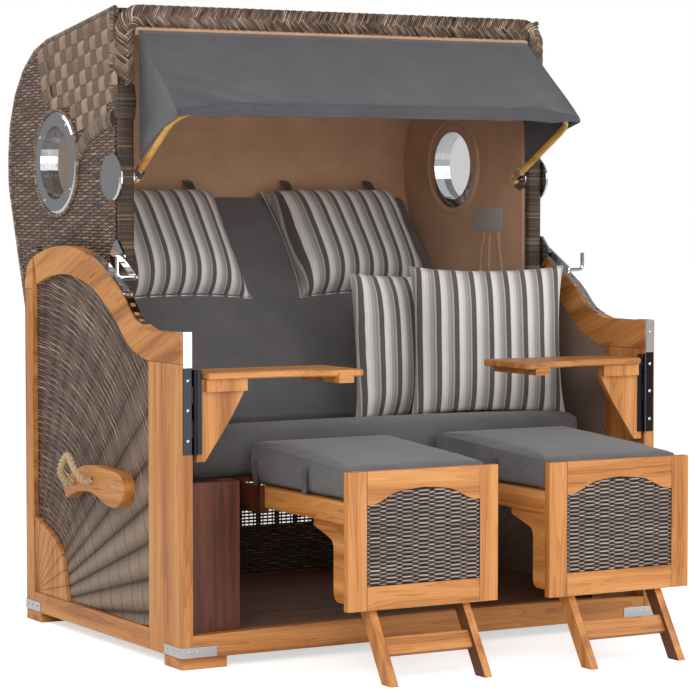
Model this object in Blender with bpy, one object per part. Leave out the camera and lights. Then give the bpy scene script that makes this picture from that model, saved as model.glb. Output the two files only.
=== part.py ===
"""Hooded beach chair for two: wooden base, woven hood, trays and pull-out footrests."""

import math

import bmesh
import bpy
from mathutils import Matrix, Vector

# All lengths are in metres. The base's front face is y = 0 and the floor is z = 0.

# Base
BASE_WIDTH = 1.36
BASE_DEPTH = 0.925
SIDE_THICKNESS = 0.030
FOOT_LENGTH = 0.095
FOOT_WIDTH = 0.12
FOOT_HEIGHT = 0.026
ARM_HEIGHT = 0.793
CROWN_RISE = 0.194
POST_DEPTH = 0.176
REAR_STILE = 0.051
BOTTOM_RAIL_TOP = 0.077
CAP_RAIL_DEPTH = 0.072
ARM_CURVE_SHARES = (
    (0.0027, 0.0), (0.1055, 0.1237), (0.2096, 0.4485), (0.3925, 0.8144), (0.5607, 0.9742),
    (0.6889, 1.0), (0.8198, 0.9433), (0.9599, 0.7732), (1.0, 0.5),
)
CURVE_STEPS = 4
GROOVE_WIDTH = 0.004
GROOVE_DEPTH = 0.003
PANEL_THICKNESS = 0.0165
PANEL_INNER_RECESS = 0.0005
SPANDREL_THICKNESS = 0.011
SPANDREL_REACH = 0.212
SPANDREL_HEIGHT = 0.200
SPANDREL_WAVE_SHARE = 0.03
SPANDREL_LOBES = 2.5
FRONT_RAIL_THICKNESS = 0.030
FRONT_RAIL_TOP = 0.079
FRONT_RAIL_RISE = 0.008
EDGE_ROUNDING = 0.0015
GAP = 0.0003
OVERRUN = 0.01

# Seat box and back panel
DECK_BOTTOM = 0.418
DECK_TOP = 0.4297
DECK_FRONT = 0.155
DECK_REAR = 0.540
SIDE_BOARD_WIDTH = 0.139
SIDE_BOARD_BOTTOM = 0.070
SIDE_BOARD_TOP = 0.437
SIDE_BOARD_THICKNESS = 0.0195
FLOOR_BOTTOM = 0.050
FLOOR_TOP = 0.075
RUNNER_THICKNESS = 0.0115
RUNNER_LEDGE = 0.012
RUNNER_LEDGE_THICKNESS = 0.0125
RUNNER_CLEARANCE = 0.002
RUNNER_FRONT = 0.052
RUNNER_REAR = 0.520
BACK_PANEL_TOP = 0.470
BACK_PANEL_BOTTOM = FOOT_HEIGHT + GAP
BACK_PANEL_RAIL = 0.055
BACK_PANEL_THICKNESS = 0.030
BACK_PANEL_INFILL = 0.014

# Hood
HOOD_SIDE_CLEARANCE = 0.022
HOOD_HALF_WIDTH = BASE_WIDTH * 0.5 - SIDE_THICKNESS - HOOD_SIDE_CLEARANCE
HOOD_PIVOT_Y = 0.560
HOOD_PIVOT_Z = 0.530
HOOD_FRONT = 0.470
HOOD_REAR = 1.145
HOOD_ROOF_FRONT = 1.580
HOOD_ROOF_REAR = 1.479
HOOD_BEND_Z = 1.144
HOOD_BOTTOM_Y = 0.985
HOOD_BOTTOM_Z = 0.660
HOOD_TONGUE_CORNER = 0.378
HOOD_ROOF_RADIUS = 0.30
HOOD_BACK_RADIUS = 0.16
HOOD_TONGUE_RADIUS = 0.090
HOOD_WALL = 0.022
LINING_THICKNESS = 0.020
PIVOT_BOSS_RADIUS = 0.030
RIM_TOP = 1.585
RIM_DEPTH = 0.025
RIM_SIDE = 0.0425
RIM_TOP_BAND = 0.073
RIM_FOOT = 0.620
RIM_CORNER_RADIUS = 0.030
RIM_INNER_RADIUS = 0.020
HOOD_PIVOT = (HOOD_PIVOT_Y, HOOD_PIVOT_Z)
INSIDE_HALF_WIDTH = HOOD_HALF_WIDTH - HOOD_WALL - LINING_THICKNESS

# Cushions and pillows
CUSHION_SIDE_CLEARANCE = 0.006
SEAT_CUSHION_HALF = INSIDE_HALF_WIDTH - CUSHION_SIDE_CLEARANCE
SEAT_CUSHION_FRONT = 0.160
SEAT_CUSHION_FRONT_TOP = 0.560
SEAT_CUSHION_REAR_TOP = 0.520
CUSHION_EDGE_RADIUS = 0.018
CUSHION_END_ROUNDING = 0.012
SEAT_CROWN = 0.010
BACK_CROWN = 0.008
FOOTREST_CROWN = 0.010
BACK_TOP_RADIUS = 0.005
CUSHION_COLUMNS = 10
BACK_CUSHION_THICKNESS = 0.080
BACKREST_THICKNESS = 0.016
BACK_FOOT_Y = 0.580
BACK_FOOT_Z = 0.525
BACK_ANGLE = math.radians(51.0)
NECK_PILLOW_WIDTH = 0.42
NECK_PILLOW_HEIGHT = 0.365
NECK_PILLOW_THICKNESS = 0.105
NECK_PILLOW_RISE = 0.582
NECK_PILLOW_PLACE_SHARES = (-0.468, 0.520)
SQUARE_PILLOW_SIZE = 0.405
SQUARE_PILLOW_HEIGHT = 0.385
SQUARE_PILLOW_THICKNESS = 0.125
SQUARE_PILLOW_LEAN = math.radians(85.0)
REAR_PILLOW_PLACE_SHARE = 0.460
REAR_PILLOW_Y = 0.492
FRONT_PILLOW_PLACE_SHARE = 0.650
FRONT_PILLOW_Y = 0.330
FRONT_PILLOW_TURN = math.radians(-20.0)
PILLOW_DRAW_SHARE = 0.06
PILLOW_EDGE_SHARE = 0.05
PILLOW_CROWN_SHARE = 0.62
PILLOW_COLUMNS = 10
PILLOW_ROWS = 8

# Portholes
PORTHOLE_Y = 0.830
PORTHOLE_Z = 1.200
PORTHOLE_FLANGE_RADIUS = 0.1325
PORTHOLE_FLANGE_THICKNESS = 0.006
PORTHOLE_TUBE_RADIUS = 0.1025
PORTHOLE_OPENING_RADIUS = 0.0950
PORTHOLE_INNER_LIP = 0.005
GLASS_THICKNESS = 0.004
ROUND_STEPS = 32

# Awning
AWNING_PIVOT_Y = 0.485
AWNING_PIVOT_Z = 1.160
AWNING_DISC_RADIUS = 0.060
AWNING_DISC_THICKNESS = 0.008
AWNING_AXLE_RADIUS = 0.010
AWNING_STUD_RADIUS = 0.006
BOW_WIDTH = 0.020
BOW_THICKNESS = 0.012
BOW_SIDE_CLEARANCE = 0.021
BOW_SPREAD = 0.013
BOW_FRONT_Y = 0.210
BOW_FRONT_Z = 1.323
BOW_CORNER_RADIUS = 0.085
BOW_EYE_RADIUS = 0.014
BOW_EYE_LAP = 0.0126
BOW_SIDES = 12
EYE_CLEARANCE = 0.0005
CANOPY_THICKNESS = 0.004
CANOPY_REAR_Y = 0.4444
CANOPY_REAR_Z = 1.518
CANOPY_SAG = 0.006
CANOPY_HEM = 0.032
CANOPY_SPREAD = 0.010
GUSSET_FOOT = 0.030
GUSSET_SETBACK = 0.0125
AWNING_PIVOT = (AWNING_PIVOT_Y, AWNING_PIVOT_Z)
BOW_FRONT = (BOW_FRONT_Y, BOW_FRONT_Z)
BOW_HALF_WIDTH = INSIDE_HALF_WIDTH - BOW_SIDE_CLEARANCE
BOW_FRONT_HALF_WIDTH = BOW_HALF_WIDTH + BOW_SPREAD
CANOPY_HALF_WIDTH = BOW_HALF_WIDTH + CANOPY_SPREAD

# Latches
LATCH_PLATE_Y = 0.452
LATCH_PLATE_HALF = 0.045
LATCH_PLATE_THICKNESS = 0.006
LATCH_PIVOT_Y = 0.425
LATCH_PIVOT_RISE = 0.172
LATCH_PIN_Y = 0.3365
LATCH_PIN_RISE = 0.124
LATCH_PIN_RADIUS = 0.005
LATCH_ARM_THICKNESS = 0.0055
LATCH_ARM_RADIUS = 0.010
LATCH_STUD_RADIUS = 0.004
LATCH_PIN_OUTSIDE = 0.006
LATCH_HANDLE_LENGTH = 0.045
NOTCH_STRIP_THICKNESS = 0.003
NOTCH_STRIP_INSET = 0.003
NOTCH_STRIP_SHARES = (0.052, 0.440)
NOTCH_COUNT = 7
NOTCH_LENGTH = 0.012
NOTCH_WIDTH = 0.014
LATCH_PIVOT = (LATCH_PIVOT_Y, ARM_HEIGHT + LATCH_PIVOT_RISE)
LATCH_PLATE_CENTRE = (LATCH_PLATE_Y, ARM_HEIGHT + LATCH_PIVOT_RISE)
LATCH_PIN = (LATCH_PIN_Y, ARM_HEIGHT + LATCH_PIN_RISE)
LATCH_PIN_REACH = BASE_WIDTH * 0.5 + LATCH_PIN_OUTSIDE

# Handles and ropes
HANDLE_THICKNESS = 0.036
HANDLE_FRONT = 0.270
HANDLE_LENGTH = 0.370
HANDLE_BOTTOM = 0.345
HANDLE_HEIGHT = 0.102
HANDLE_TOP_SHARES = (
    (0.0, 0.50), (0.03, 0.80), (0.13, 0.93), (0.30, 0.96), (0.52, 0.99), (0.75, 0.86), (1.0, 0.42),
)
HANDLE_LOW_SHARES = (
    (0.93, 0.05), (0.75, 0.27), (0.52, 0.33), (0.33, 0.14), (0.17, 0.06), (0.05, 0.22),
)
ROPE_RADIUS = 0.009
ROPE_FRONT_Y = 0.455
ROPE_FRONT_Z = 0.408
ROPE_REAR_Y = 0.560
ROPE_REAR_Z = 0.396
ROPE_STAND_OFF = 0.042
ROPE_RISE = 0.062
ROPE_SIDES = 10

# Trays
TRAY_DROP = 0.093
TRAY_THICKNESS = 0.016
TRAY_PIVOT_INSET = 0.034
TRAY_PIVOT_Y = -0.0063
TRAY_NEAR = 0.060
TRAY_FAR = 0.450
TRAY_REAR = 0.125
TRAY_FRONT_NEAR = -0.028
TRAY_FRONT_FAR = -0.096
TRAY_CORNER_RADIUS = 0.020
TRAY_WAIST_RADIUS = 0.060
TRAY_BATTEN_WIDTH = 0.040
TRAY_BATTEN_THICKNESS = 0.015
TRAY_BATTEN_END = 0.030
BRACKET_THICKNESS = 0.018
BRACKET_FAR = 0.168
BRACKET_SHOULDER_DROP = 0.045
BRACKET_TIP_DROP = 0.210
BRACKET_TIP_WIDTH = 0.022
BRACKET_BULGE = 0.0125
BRACKET_BATTEN_DEPTH = 0.016
LEAF_THICKNESS = 0.0027
LEAF_LENGTH = 0.200
LEAF_RISE = 0.008
LEAF_WIDTH = 0.0225
MOVING_LEAF_WIDTH = 0.013
LEAF_CLEARANCE = 0.0065
KNUCKLE_RADIUS = 0.0055
HINGE_PIN_RADIUS = 0.0030
HINGE_BORE_RADIUS = 0.0034
KNUCKLE_COUNT = 5
CAP_WRAP = 0.040
TRAY_TOP = ARM_HEIGHT - TRAY_DROP
LEAF_TOP = TRAY_TOP + LEAF_RISE
LEAF_BOTTOM = LEAF_TOP - LEAF_LENGTH
BRACKET_SHOULDER = TRAY_TOP - BRACKET_SHOULDER_DROP
BRACKET_TIP = TRAY_TOP - BRACKET_TIP_DROP

# Footrests
FOOTREST_WIDTH = 0.405
FOOTREST_SIDE_CLEARANCE = 0.0082
FOOTREST_LEFT_PLACE_SHARE = 0.4455
FOOTREST_LEFT_FRONT = -0.350
FOOTREST_RIGHT_FRONT = -0.385
FOOTREST_THICKNESS = 0.020
FOOTREST_BOTTOM = 0.165
FOOTREST_TOP = 0.485
FOOTREST_TOP_RAIL = 0.042
FOOTREST_ARCH_RISE = 0.036
FOOTREST_STILE = 0.050
FOOTREST_LOW_RAIL = 0.055
FOOTREST_INFILL = 0.010
OGEE_FOOT_SHARE = 0.80
OGEE_LOW_SHARE = 0.15
OGEE_RISE_SHARE = 0.48
OGEE_HIGH_SHARE = 0.78
STOOL_RAIL = 0.020
STOOL_RAIL_BOTTOM = 0.365
STOOL_TOP = 0.415
STOOL_REAR = 0.100
STOOL_DECK_THICKNESS = 0.010
CORBEL_THICKNESS = 0.0095
CORBEL_LENGTH = 0.160
CORBEL_HEIGHT = 0.045
CORBEL_NOSE = 0.018
CORBEL_DROP = 0.185
CORBEL_POST = 0.066
CORBEL_HOLLOW_RADIUS = 0.0225
CORBEL_TOE_RADIUS = 0.020
LEG_PIVOT_BACK = 0.065
LEG_PIVOT_Z = 0.200
LEG_LEAN = math.radians(32.0)
LEG_WIDTH = 0.036
LEG_THICKNESS = 0.020
LEG_INSET = 0.066
LEG_SLAT_HEIGHT = 0.042
LEG_SLAT_THICKNESS = 0.016
LEG_SLAT_SHARE = 0.60
AXLE_RADIUS = 0.006
AXLE_BORE_RADIUS = 0.0066
FOOTREST_CUSHION_FRONT_TOP = 0.500
FOOTREST_CUSHION_REAR_TOP = 0.530
FOOTREST_CUSHION_REAR = 0.150
BAY_HALF_WIDTH = BASE_WIDTH * 0.5 - SIDE_THICKNESS - GAP - SIDE_BOARD_WIDTH
FOOTREST_LEFT_CENTRE = -BAY_HALF_WIDTH * FOOTREST_LEFT_PLACE_SHARE
FOOTREST_RIGHT_CENTRE = BAY_HALF_WIDTH - FOOTREST_SIDE_CLEARANCE - FOOTREST_WIDTH * 0.5

SIGNS = {"left": -1.0, "right": 1.0}
WOOD = ("teak", (0.52, 0.25, 0.09), 0.55, 0.0)
PALE_WOOD = ("pale wood", (0.68, 0.43, 0.20), 0.5, 0.0)
WICKER = ("wicker", (0.13, 0.10, 0.08), 0.7, 0.0)
RIM_WICKER = ("rim wicker", (0.22, 0.17, 0.13), 0.7, 0.0)
DARK_WOOD = ("dark board", (0.05, 0.035, 0.025), 0.6, 0.0)
LINING = ("lining cloth", (0.26, 0.15, 0.09), 0.9, 0.0)
GREY_CLOTH = ("grey cloth", (0.15, 0.145, 0.15), 0.9, 0.0)
STRIPED_CLOTH = ("striped cloth", (0.45, 0.44, 0.43), 0.9, 0.0)
CHROME = ("chrome", (0.75, 0.76, 0.78), 0.15, 1.0)
STEEL = ("steel", (0.6, 0.6, 0.6), 0.35, 1.0)
GLASS = ("glass", (0.8, 0.86, 0.88), 0.05, 0.0)
ROPE = ("rope", (0.6, 0.5, 0.38), 0.9, 0.0)


def material(look):
    """Return the Principled material with this name, colour, roughness and metallic value."""
    name, colour, roughness, metallic = look
    found = bpy.data.materials.get(name)
    if found:
        return found
    made = bpy.data.materials.new(name)
    made.use_nodes = True
    shader = made.node_tree.nodes["Principled BSDF"]
    shader.inputs["Base Color"].default_value = (*colour, 1.0)
    shader.inputs["Roughness"].default_value = roughness
    shader.inputs["Metallic"].default_value = metallic
    made.diffuse_color = (*colour, 1.0)
    return made


def empty(name, parent, point):
    """Add an empty at a point given in the base's frame."""
    item = bpy.data.objects.new(name, None)
    bpy.context.collection.objects.link(item)
    item.parent = parent
    item["base_point"] = tuple(point)
    offset = Vector(point)
    if parent:
        offset -= Vector(parent["base_point"])
    item.location = offset
    return item


def add(name, mesh, look, parent, point=(0.0, 0.0, 0.0), turn=0.0, swing=0.0):
    """Add a named object whose mesh is laid out about a point of the base's frame."""
    item = bpy.data.objects.new(name, mesh)
    bpy.context.collection.objects.link(item)
    item.data.materials.append(material(look))
    item.parent = parent
    item.location = Vector(point) - Vector(parent["base_point"])
    item.rotation_euler = (turn, 0.0, swing)
    return item


def finish(bm, name):
    """Turn a bmesh into a mesh with outward normals."""
    bmesh.ops.recalc_face_normals(bm, faces=bm.faces)
    if bm.calc_volume(signed=True) < 0.0:
        bmesh.ops.reverse_faces(bm, faces=bm.faces)
    mesh = bpy.data.meshes.new(name)
    bm.to_mesh(mesh)
    bm.free()
    return mesh


def to_space(axis, u, v, along):
    """Place a point of an outline in space, with the outline square to an axis."""
    if axis == "X":
        return Vector((along, u, v))
    if axis == "Y":
        return Vector((u, along, v))
    return Vector((u, v, along))


def prism(name, axis, outline, start, end):
    """Extrude a closed outline along an axis."""
    bm = bmesh.new()
    lower = [bm.verts.new(to_space(axis, u, v, start)) for u, v in outline]
    face = bm.faces.new(lower)
    grown = bmesh.ops.extrude_face_region(bm, geom=[face])
    moved = [g for g in grown["geom"] if isinstance(g, bmesh.types.BMVert)]
    bmesh.ops.translate(bm, verts=moved, vec=to_space(axis, 0.0, 0.0, end - start))
    return finish(bm, name)


def box(name, low, high):
    """Make a box between two corners."""
    bm = bmesh.new()
    bmesh.ops.create_cube(bm, size=1.0)
    size = [b - a for a, b in zip(low, high)]
    middle = [(a + b) * 0.5 for a, b in zip(low, high)]
    bmesh.ops.scale(bm, vec=size, verts=bm.verts)
    bmesh.ops.translate(bm, vec=middle, verts=bm.verts)
    return finish(bm, name)


def turned(name, axis, profile, steps=ROUND_STEPS):
    """Spin a profile of (radius, along) points round an axis through the origin."""
    bm = bmesh.new()
    rings = []
    for radius, along in profile:
        ring = []
        for step in range(steps):
            angle = 2.0 * math.pi * step / steps
            point = to_space(axis, radius * math.cos(angle), radius * math.sin(angle), along)
            ring.append(bm.verts.new(point))
        rings.append(ring)
    count = len(rings)
    hollow = profile[0] == profile[-1]
    if hollow:
        for vert in rings.pop():
            bm.verts.remove(vert)
        count -= 1
    for index in range(count if hollow else count - 1):
        a, b = rings[index], rings[(index + 1) % count]
        for step in range(steps):
            after = (step + 1) % steps
            bm.faces.new((a[step], a[after], b[after], b[step]))
    if not hollow:
        bm.faces.new(rings[0])
        bm.faces.new(rings[-1])
    return finish(bm, name)


def rod(name, axis, radius, start, end, steps=12):
    """Make a plain cylinder along an axis through the origin."""
    return turned(name, axis, [(radius, start), (radius, end)], steps)


def tube(name, path, radius, sides, thickness=0.0):
    """Sweep a circle along a path, or an oval with its own thickness, and cap both ends."""
    flat = thickness * 0.5 or radius
    bm = bmesh.new()
    points = [Vector(p) for p in path]
    rings = []
    side = Vector((0.0, 0.0, 1.0))
    for index, point in enumerate(points):
        before = points[max(index - 1, 0)]
        after = points[min(index + 1, len(points) - 1)]
        direction = (after - before).normalized()
        side = side - direction * side.dot(direction)
        side.normalize()
        other = direction.cross(side)
        ring = []
        for step in range(sides):
            angle = 2.0 * math.pi * step / sides
            spoke = side * math.cos(angle) * radius + other * math.sin(angle) * flat
            ring.append(bm.verts.new(point + spoke))
        rings.append(ring)
    for a, b in zip(rings, rings[1:]):
        for step in range(sides):
            after = (step + 1) % sides
            bm.faces.new((a[step], a[after], b[after], b[step]))
    bm.faces.new(rings[0])
    bm.faces.new(rings[-1])
    return finish(bm, name)


def smooth(keys, steps=CURVE_STEPS):
    """Run a smooth curve through the keys, in the plane or in space."""
    points = [Vector(k) for k in keys]
    points = [points[0] * 2.0 - points[1]] + points + [points[-1] * 2.0 - points[-2]]
    curve = []
    for index in range(1, len(points) - 2):
        a, b, c, d = points[index - 1:index + 3]
        for step in range(steps):
            t = step / steps
            curve.append(
                (b * 2.0 + (c - a) * t + (a * 2.0 - b * 5.0 + c * 4.0 - d) * t ** 2
                 + (b * 3.0 - a - c * 3.0 + d) * t ** 3) * 0.5
            )
    curve.append(points[-2])
    return [tuple(p) for p in curve]


def offset_curve(curve, distance):
    """Shift an open plane curve to its right by a distance."""
    shifted = []
    for index, point in enumerate(curve):
        before = Vector(curve[max(index - 1, 0)])
        after = Vector(curve[min(index + 1, len(curve) - 1)])
        direction = (after - before).normalized()
        normal = Vector((direction.y, -direction.x))
        shifted.append(tuple(Vector(point) + normal * distance))
    return shifted


def crossing(a, b, c, d):
    """Return where the line through a and b meets the line through c and d."""
    r = Vector(b) - Vector(a)
    s = Vector(d) - Vector(c)
    share = (Vector(c) - Vector(a)).cross(s) / r.cross(s)
    return tuple(Vector(a) + r * share)


def fillet(corners, steps=5):
    """Round the corners of an outline, given as (u, v, radius)."""
    outline = []
    count = len(corners)
    for index, (u, v, radius) in enumerate(corners):
        here = Vector((u, v))
        if radius == 0.0:
            outline.append((u, v))
            continue
        back = (Vector(corners[index - 1][:2]) - here).normalized()
        ahead = (Vector(corners[(index + 1) % count][:2]) - here).normalized()
        half = back.angle(ahead) * 0.5
        centre = here + (back + ahead).normalized() * radius / math.sin(half)
        start = here + back * radius / math.tan(half) - centre
        end = here + ahead * radius / math.tan(half) - centre
        sweep = start.angle_signed(end)
        for step in range(steps + 1):
            angle = -sweep * step / steps
            spoke = Matrix.Rotation(angle, 2) @ start
            outline.append(tuple(centre + spoke))
    return outline


def inset_corners(corners, insets):
    """Move each edge of a cornered outline inward by its own distance."""
    count = len(corners)
    area = 0.0
    for index in range(count):
        a, b = corners[index], corners[(index + 1) % count]
        area += a[0] * b[1] - b[0] * a[1]
    turn = 1.0 if area > 0.0 else -1.0
    lines = []
    for index in range(count):
        a = Vector(corners[index][:2])
        b = Vector(corners[(index + 1) % count][:2])
        direction = (b - a).normalized()
        normal = Vector((-direction.y, direction.x)) * turn * insets[index]
        lines.append((a + normal, b + normal))
    moved = []
    for index in range(count):
        before = lines[index - 1]
        here = lines[index]
        point = crossing(*before, *here)
        radius = corners[index][2]
        moved.append((point[0], point[1], max(radius - insets[index], 0.0) if radius else 0.0))
    return moved


def combine(item, mesh, operation):
    """Join a mesh to an object, or cut it away, keeping the helper as a guide."""
    helper = bpy.data.objects.new(item.name + " guide", mesh)
    bpy.context.collection.objects.link(helper)
    helper.parent = item
    helper.hide_render = True
    helper.display_type = "WIRE"
    step = item.modifiers.new(operation.lower(), "BOOLEAN")
    step.operation = operation
    step.solver = "EXACT"
    step.object = helper
    return helper


def join(item, mesh):
    """Join a mesh to an object."""
    return combine(item, mesh, "UNION")


def cut(item, mesh):
    """Cut a mesh away from an object."""
    return combine(item, mesh, "DIFFERENCE")


def soften(item, width, segments=1):
    """Bevel an object's edges."""
    step = item.modifiers.new("soft edges", "BEVEL")
    step.width = width
    step.segments = segments
    step.limit_method = "ANGLE"
    step.angle_limit = math.radians(40.0)
    return step


def round_shading(item):
    """Shade a round piece smooth, with its corners kept sharp."""
    item.data.shade_smooth()
    item.data.set_sharp_from_angle(angle=math.radians(35.0))


def arm_point(back_share, rise_share):
    """Return a point over the arm: a share of the way to the rear, and of the crown's rise."""
    return (POST_DEPTH + (BASE_DEPTH - POST_DEPTH) * back_share, ARM_HEIGHT + CROWN_RISE * rise_share)


def arm_curve():
    """Return the cap rail's outer edge, from the flat arm to the rear post."""
    return smooth([arm_point(*shares) for shares in ARM_CURVE_SHARES])


def opening_outline(clearance):
    """Return the side frame's opening, drawn in by a clearance."""
    upper = offset_curve(arm_curve(), CAP_RAIL_DEPTH)
    rear = BASE_DEPTH - REAR_STILE
    inside = []
    for point in upper:
        reach = inside[-1][0] if inside else POST_DEPTH + SIDE_THICKNESS * 0.5
        if reach < point[0] < BASE_DEPTH - REAR_STILE * 1.5:
            inside.append(point)
    low = BOTTOM_RAIL_TOP
    front_top = (POST_DEPTH, ARM_HEIGHT - CAP_RAIL_DEPTH)
    rear_top = crossing(inside[-2], inside[-1], (rear, low), (rear, ARM_HEIGHT))
    outline = [(POST_DEPTH, low), front_top] + inside + [rear_top, (rear, low)]
    if clearance == 0.0:
        return outline
    moved = inset_corners([(u, v, 0.0) for u, v in outline], [clearance] * len(outline))
    return [(u, v) for u, v, _ in moved]


def side_frame(side, root):
    """Make one wooden side frame with its posts, cap rail and bottom rail."""
    name = "side_frame_" + side
    outline = [(0.0, FOOT_HEIGHT + GAP), (0.0, ARM_HEIGHT)] + arm_curve()
    outline += [(BASE_DEPTH, FOOT_HEIGHT + GAP)]
    sign = SIGNS[side]
    inner = BASE_WIDTH * 0.5 - SIDE_THICKNESS
    outer = BASE_WIDTH * 0.5
    item = add(name, prism(name, "X", outline, sign * inner, sign * outer), WOOD, root)
    reach = (sign * (inner - OVERRUN), sign * (outer + OVERRUN))
    cut(item, prism("opening", "X", opening_outline(0.0), *reach))
    groove = [
        (POST_DEPTH * 0.5 - GROOVE_WIDTH * 0.5, outer + OVERRUN),
        (POST_DEPTH * 0.5 + GROOVE_WIDTH * 0.5, outer + OVERRUN),
        (POST_DEPTH * 0.5, outer - GROOVE_DEPTH),
    ]
    groove = [(sign * u, v) for v, u in groove]
    low = FOOT_HEIGHT - OVERRUN
    cut(item, prism("groove", "Z", groove, low, ARM_HEIGHT - CAP_RAIL_DEPTH))
    return item


def side_panel(side, root):
    """Make the woven infill of one side."""
    name = "side_panel_" + side
    sign = SIGNS[side]
    inner = BASE_WIDTH * 0.5 - SIDE_THICKNESS + PANEL_INNER_RECESS
    mesh = prism(name, "X", opening_outline(GAP), sign * inner, sign * (inner + PANEL_THICKNESS))
    return add(name, mesh, WICKER, root)


def panel_outer():
    """Return the distance of the woven infill's outer face from the middle."""
    return BASE_WIDTH * 0.5 - SIDE_THICKNESS + PANEL_INNER_RECESS + PANEL_THICKNESS


def spandrel(side, root):
    """Make the carved fan board in the lower rear corner of one side."""
    name = "spandrel_" + side
    sign = SIGNS[side]
    rear = BASE_DEPTH - REAR_STILE - GAP
    low = BOTTOM_RAIL_TOP + GAP
    outline = [(rear, low), (rear - SPANDREL_REACH, low)]
    steps = 10
    for step in range(1, steps):
        angle = math.pi * 0.5 * step / steps
        lobe = 1.0 - SPANDREL_WAVE_SHARE * (1.0 + math.cos(SPANDREL_LOBES * 2.0 * angle))
        outline.append((
            rear - SPANDREL_REACH * math.cos(angle) * lobe,
            low + SPANDREL_HEIGHT * math.sin(angle) * lobe,
        ))
    outline.append((rear, low + SPANDREL_HEIGHT))
    start = panel_outer() + GAP
    mesh = prism(name, "X", outline, sign * start, sign * (start + SPANDREL_THICKNESS))
    return add(name, mesh, WOOD, root)


def feet(root):
    """Make the four feet under the posts."""
    for side, sign in SIGNS.items():
        for place, start in (("front", 0.0), ("rear", BASE_DEPTH - FOOT_LENGTH)):
            name = "foot_" + place + "_" + side
            outer = BASE_WIDTH * 0.5
            low = (min(sign * outer, sign * (outer - FOOT_WIDTH)), start, 0.0)
            high = (max(sign * outer, sign * (outer - FOOT_WIDTH)), start + FOOT_LENGTH, FOOT_HEIGHT)
            item = add(name, box(name, low, high), WOOD, root)
            soften(item, EDGE_ROUNDING)


def front_rail(root):
    """Make the low rail across the front, with its gently arched top."""
    name = "front_rail"
    half = BASE_WIDTH * 0.5 - SIDE_THICKNESS - GAP
    low = FOOT_HEIGHT + GAP
    outline = [(-half, low), (half, low)]
    steps = 8
    for step in range(steps + 1):
        share = 1.0 - 2.0 * step / steps
        rise = FRONT_RAIL_RISE * (1.0 - share ** 2)
        outline.append((half * share, FRONT_RAIL_TOP + rise))
    mesh = prism(name, "Y", outline, 0.0, FRONT_RAIL_THICKNESS)
    return add(name, mesh, WOOD, root)


def seat_box(root):
    """Make the seat deck with its front boards and the footrests' runners."""
    name = "seat_box"
    half = BASE_WIDTH * 0.5 - SIDE_THICKNESS - GAP
    deck = box(name, (-half, DECK_FRONT, DECK_BOTTOM), (half, DECK_REAR, DECK_TOP))
    item = add(name, deck, DARK_WOOD, root)
    front = FRONT_RAIL_THICKNESS + GAP
    floor_rear = BASE_DEPTH - BACK_PANEL_THICKNESS - GAP
    join(item, box("floor", (-half, front, FLOOR_BOTTOM), (half, floor_rear, FLOOR_TOP)))
    for sign in SIGNS.values():
        inner = half - SIDE_BOARD_WIDTH
        xs = sorted((sign * half, sign * inner))
        join(item, box("front board", (xs[0], front, SIDE_BOARD_BOTTOM),
                       (xs[1], front + SIDE_BOARD_THICKNESS, SIDE_BOARD_TOP)))
        join(item, box("side ledge", (xs[0], front + SIDE_BOARD_THICKNESS * 0.5, DECK_BOTTOM),
                       (xs[1], DECK_FRONT + OVERRUN, DECK_TOP)))
    for centre in (FOOTREST_LEFT_CENTRE, FOOTREST_RIGHT_CENTRE):
        for sign in SIGNS.values():
            rail = centre + sign * FOOTREST_WIDTH * 0.5
            near = rail + sign * RUNNER_CLEARANCE
            far = near + sign * RUNNER_THICKNESS
            ledge = rail - sign * (RUNNER_LEDGE - RUNNER_CLEARANCE)
            top = STOOL_RAIL_BOTTOM - GAP
            xs = sorted((near, far))
            join(item, box("runner", (xs[0], RUNNER_FRONT, top - RUNNER_LEDGE_THICKNESS),
                           (xs[1], RUNNER_REAR, DECK_BOTTOM + GAP)))
            xs = sorted((ledge, far))
            join(item, box("ledge", (xs[0], RUNNER_FRONT, top - RUNNER_LEDGE_THICKNESS),
                           (xs[1], RUNNER_REAR, top)))
    return item


def back_panel(root):
    """Make the woven panel low in the base's back, with its rails."""
    name = "back_panel"
    half = BASE_WIDTH * 0.5 - SIDE_THICKNESS - GAP
    front = BASE_DEPTH - BACK_PANEL_THICKNESS
    item = add(name, box(name, (-half, front, BACK_PANEL_BOTTOM), (half, BASE_DEPTH, BACK_PANEL_TOP)),
               WICKER, root)
    recess = (BACK_PANEL_THICKNESS - BACK_PANEL_INFILL) * 0.5
    low = BACK_PANEL_BOTTOM + BACK_PANEL_RAIL
    high = BACK_PANEL_TOP - BACK_PANEL_RAIL
    side = half - BACK_PANEL_RAIL
    cut(item, box("front recess", (-side, front - OVERRUN, low), (side, front + recess, high)))
    cut(item, box("rear recess", (-side, BASE_DEPTH - recess, low), (side, BASE_DEPTH + OVERRUN, high)))
    return item


def end_inset(distance):
    """Return how far a cushion's outline draws in at a distance from its end."""
    if distance >= CUSHION_END_ROUNDING:
        return 0.0
    left = CUSHION_END_ROUNDING - distance
    return CUSHION_END_ROUNDING - math.sqrt(CUSHION_END_ROUNDING ** 2 - left ** 2)


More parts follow.
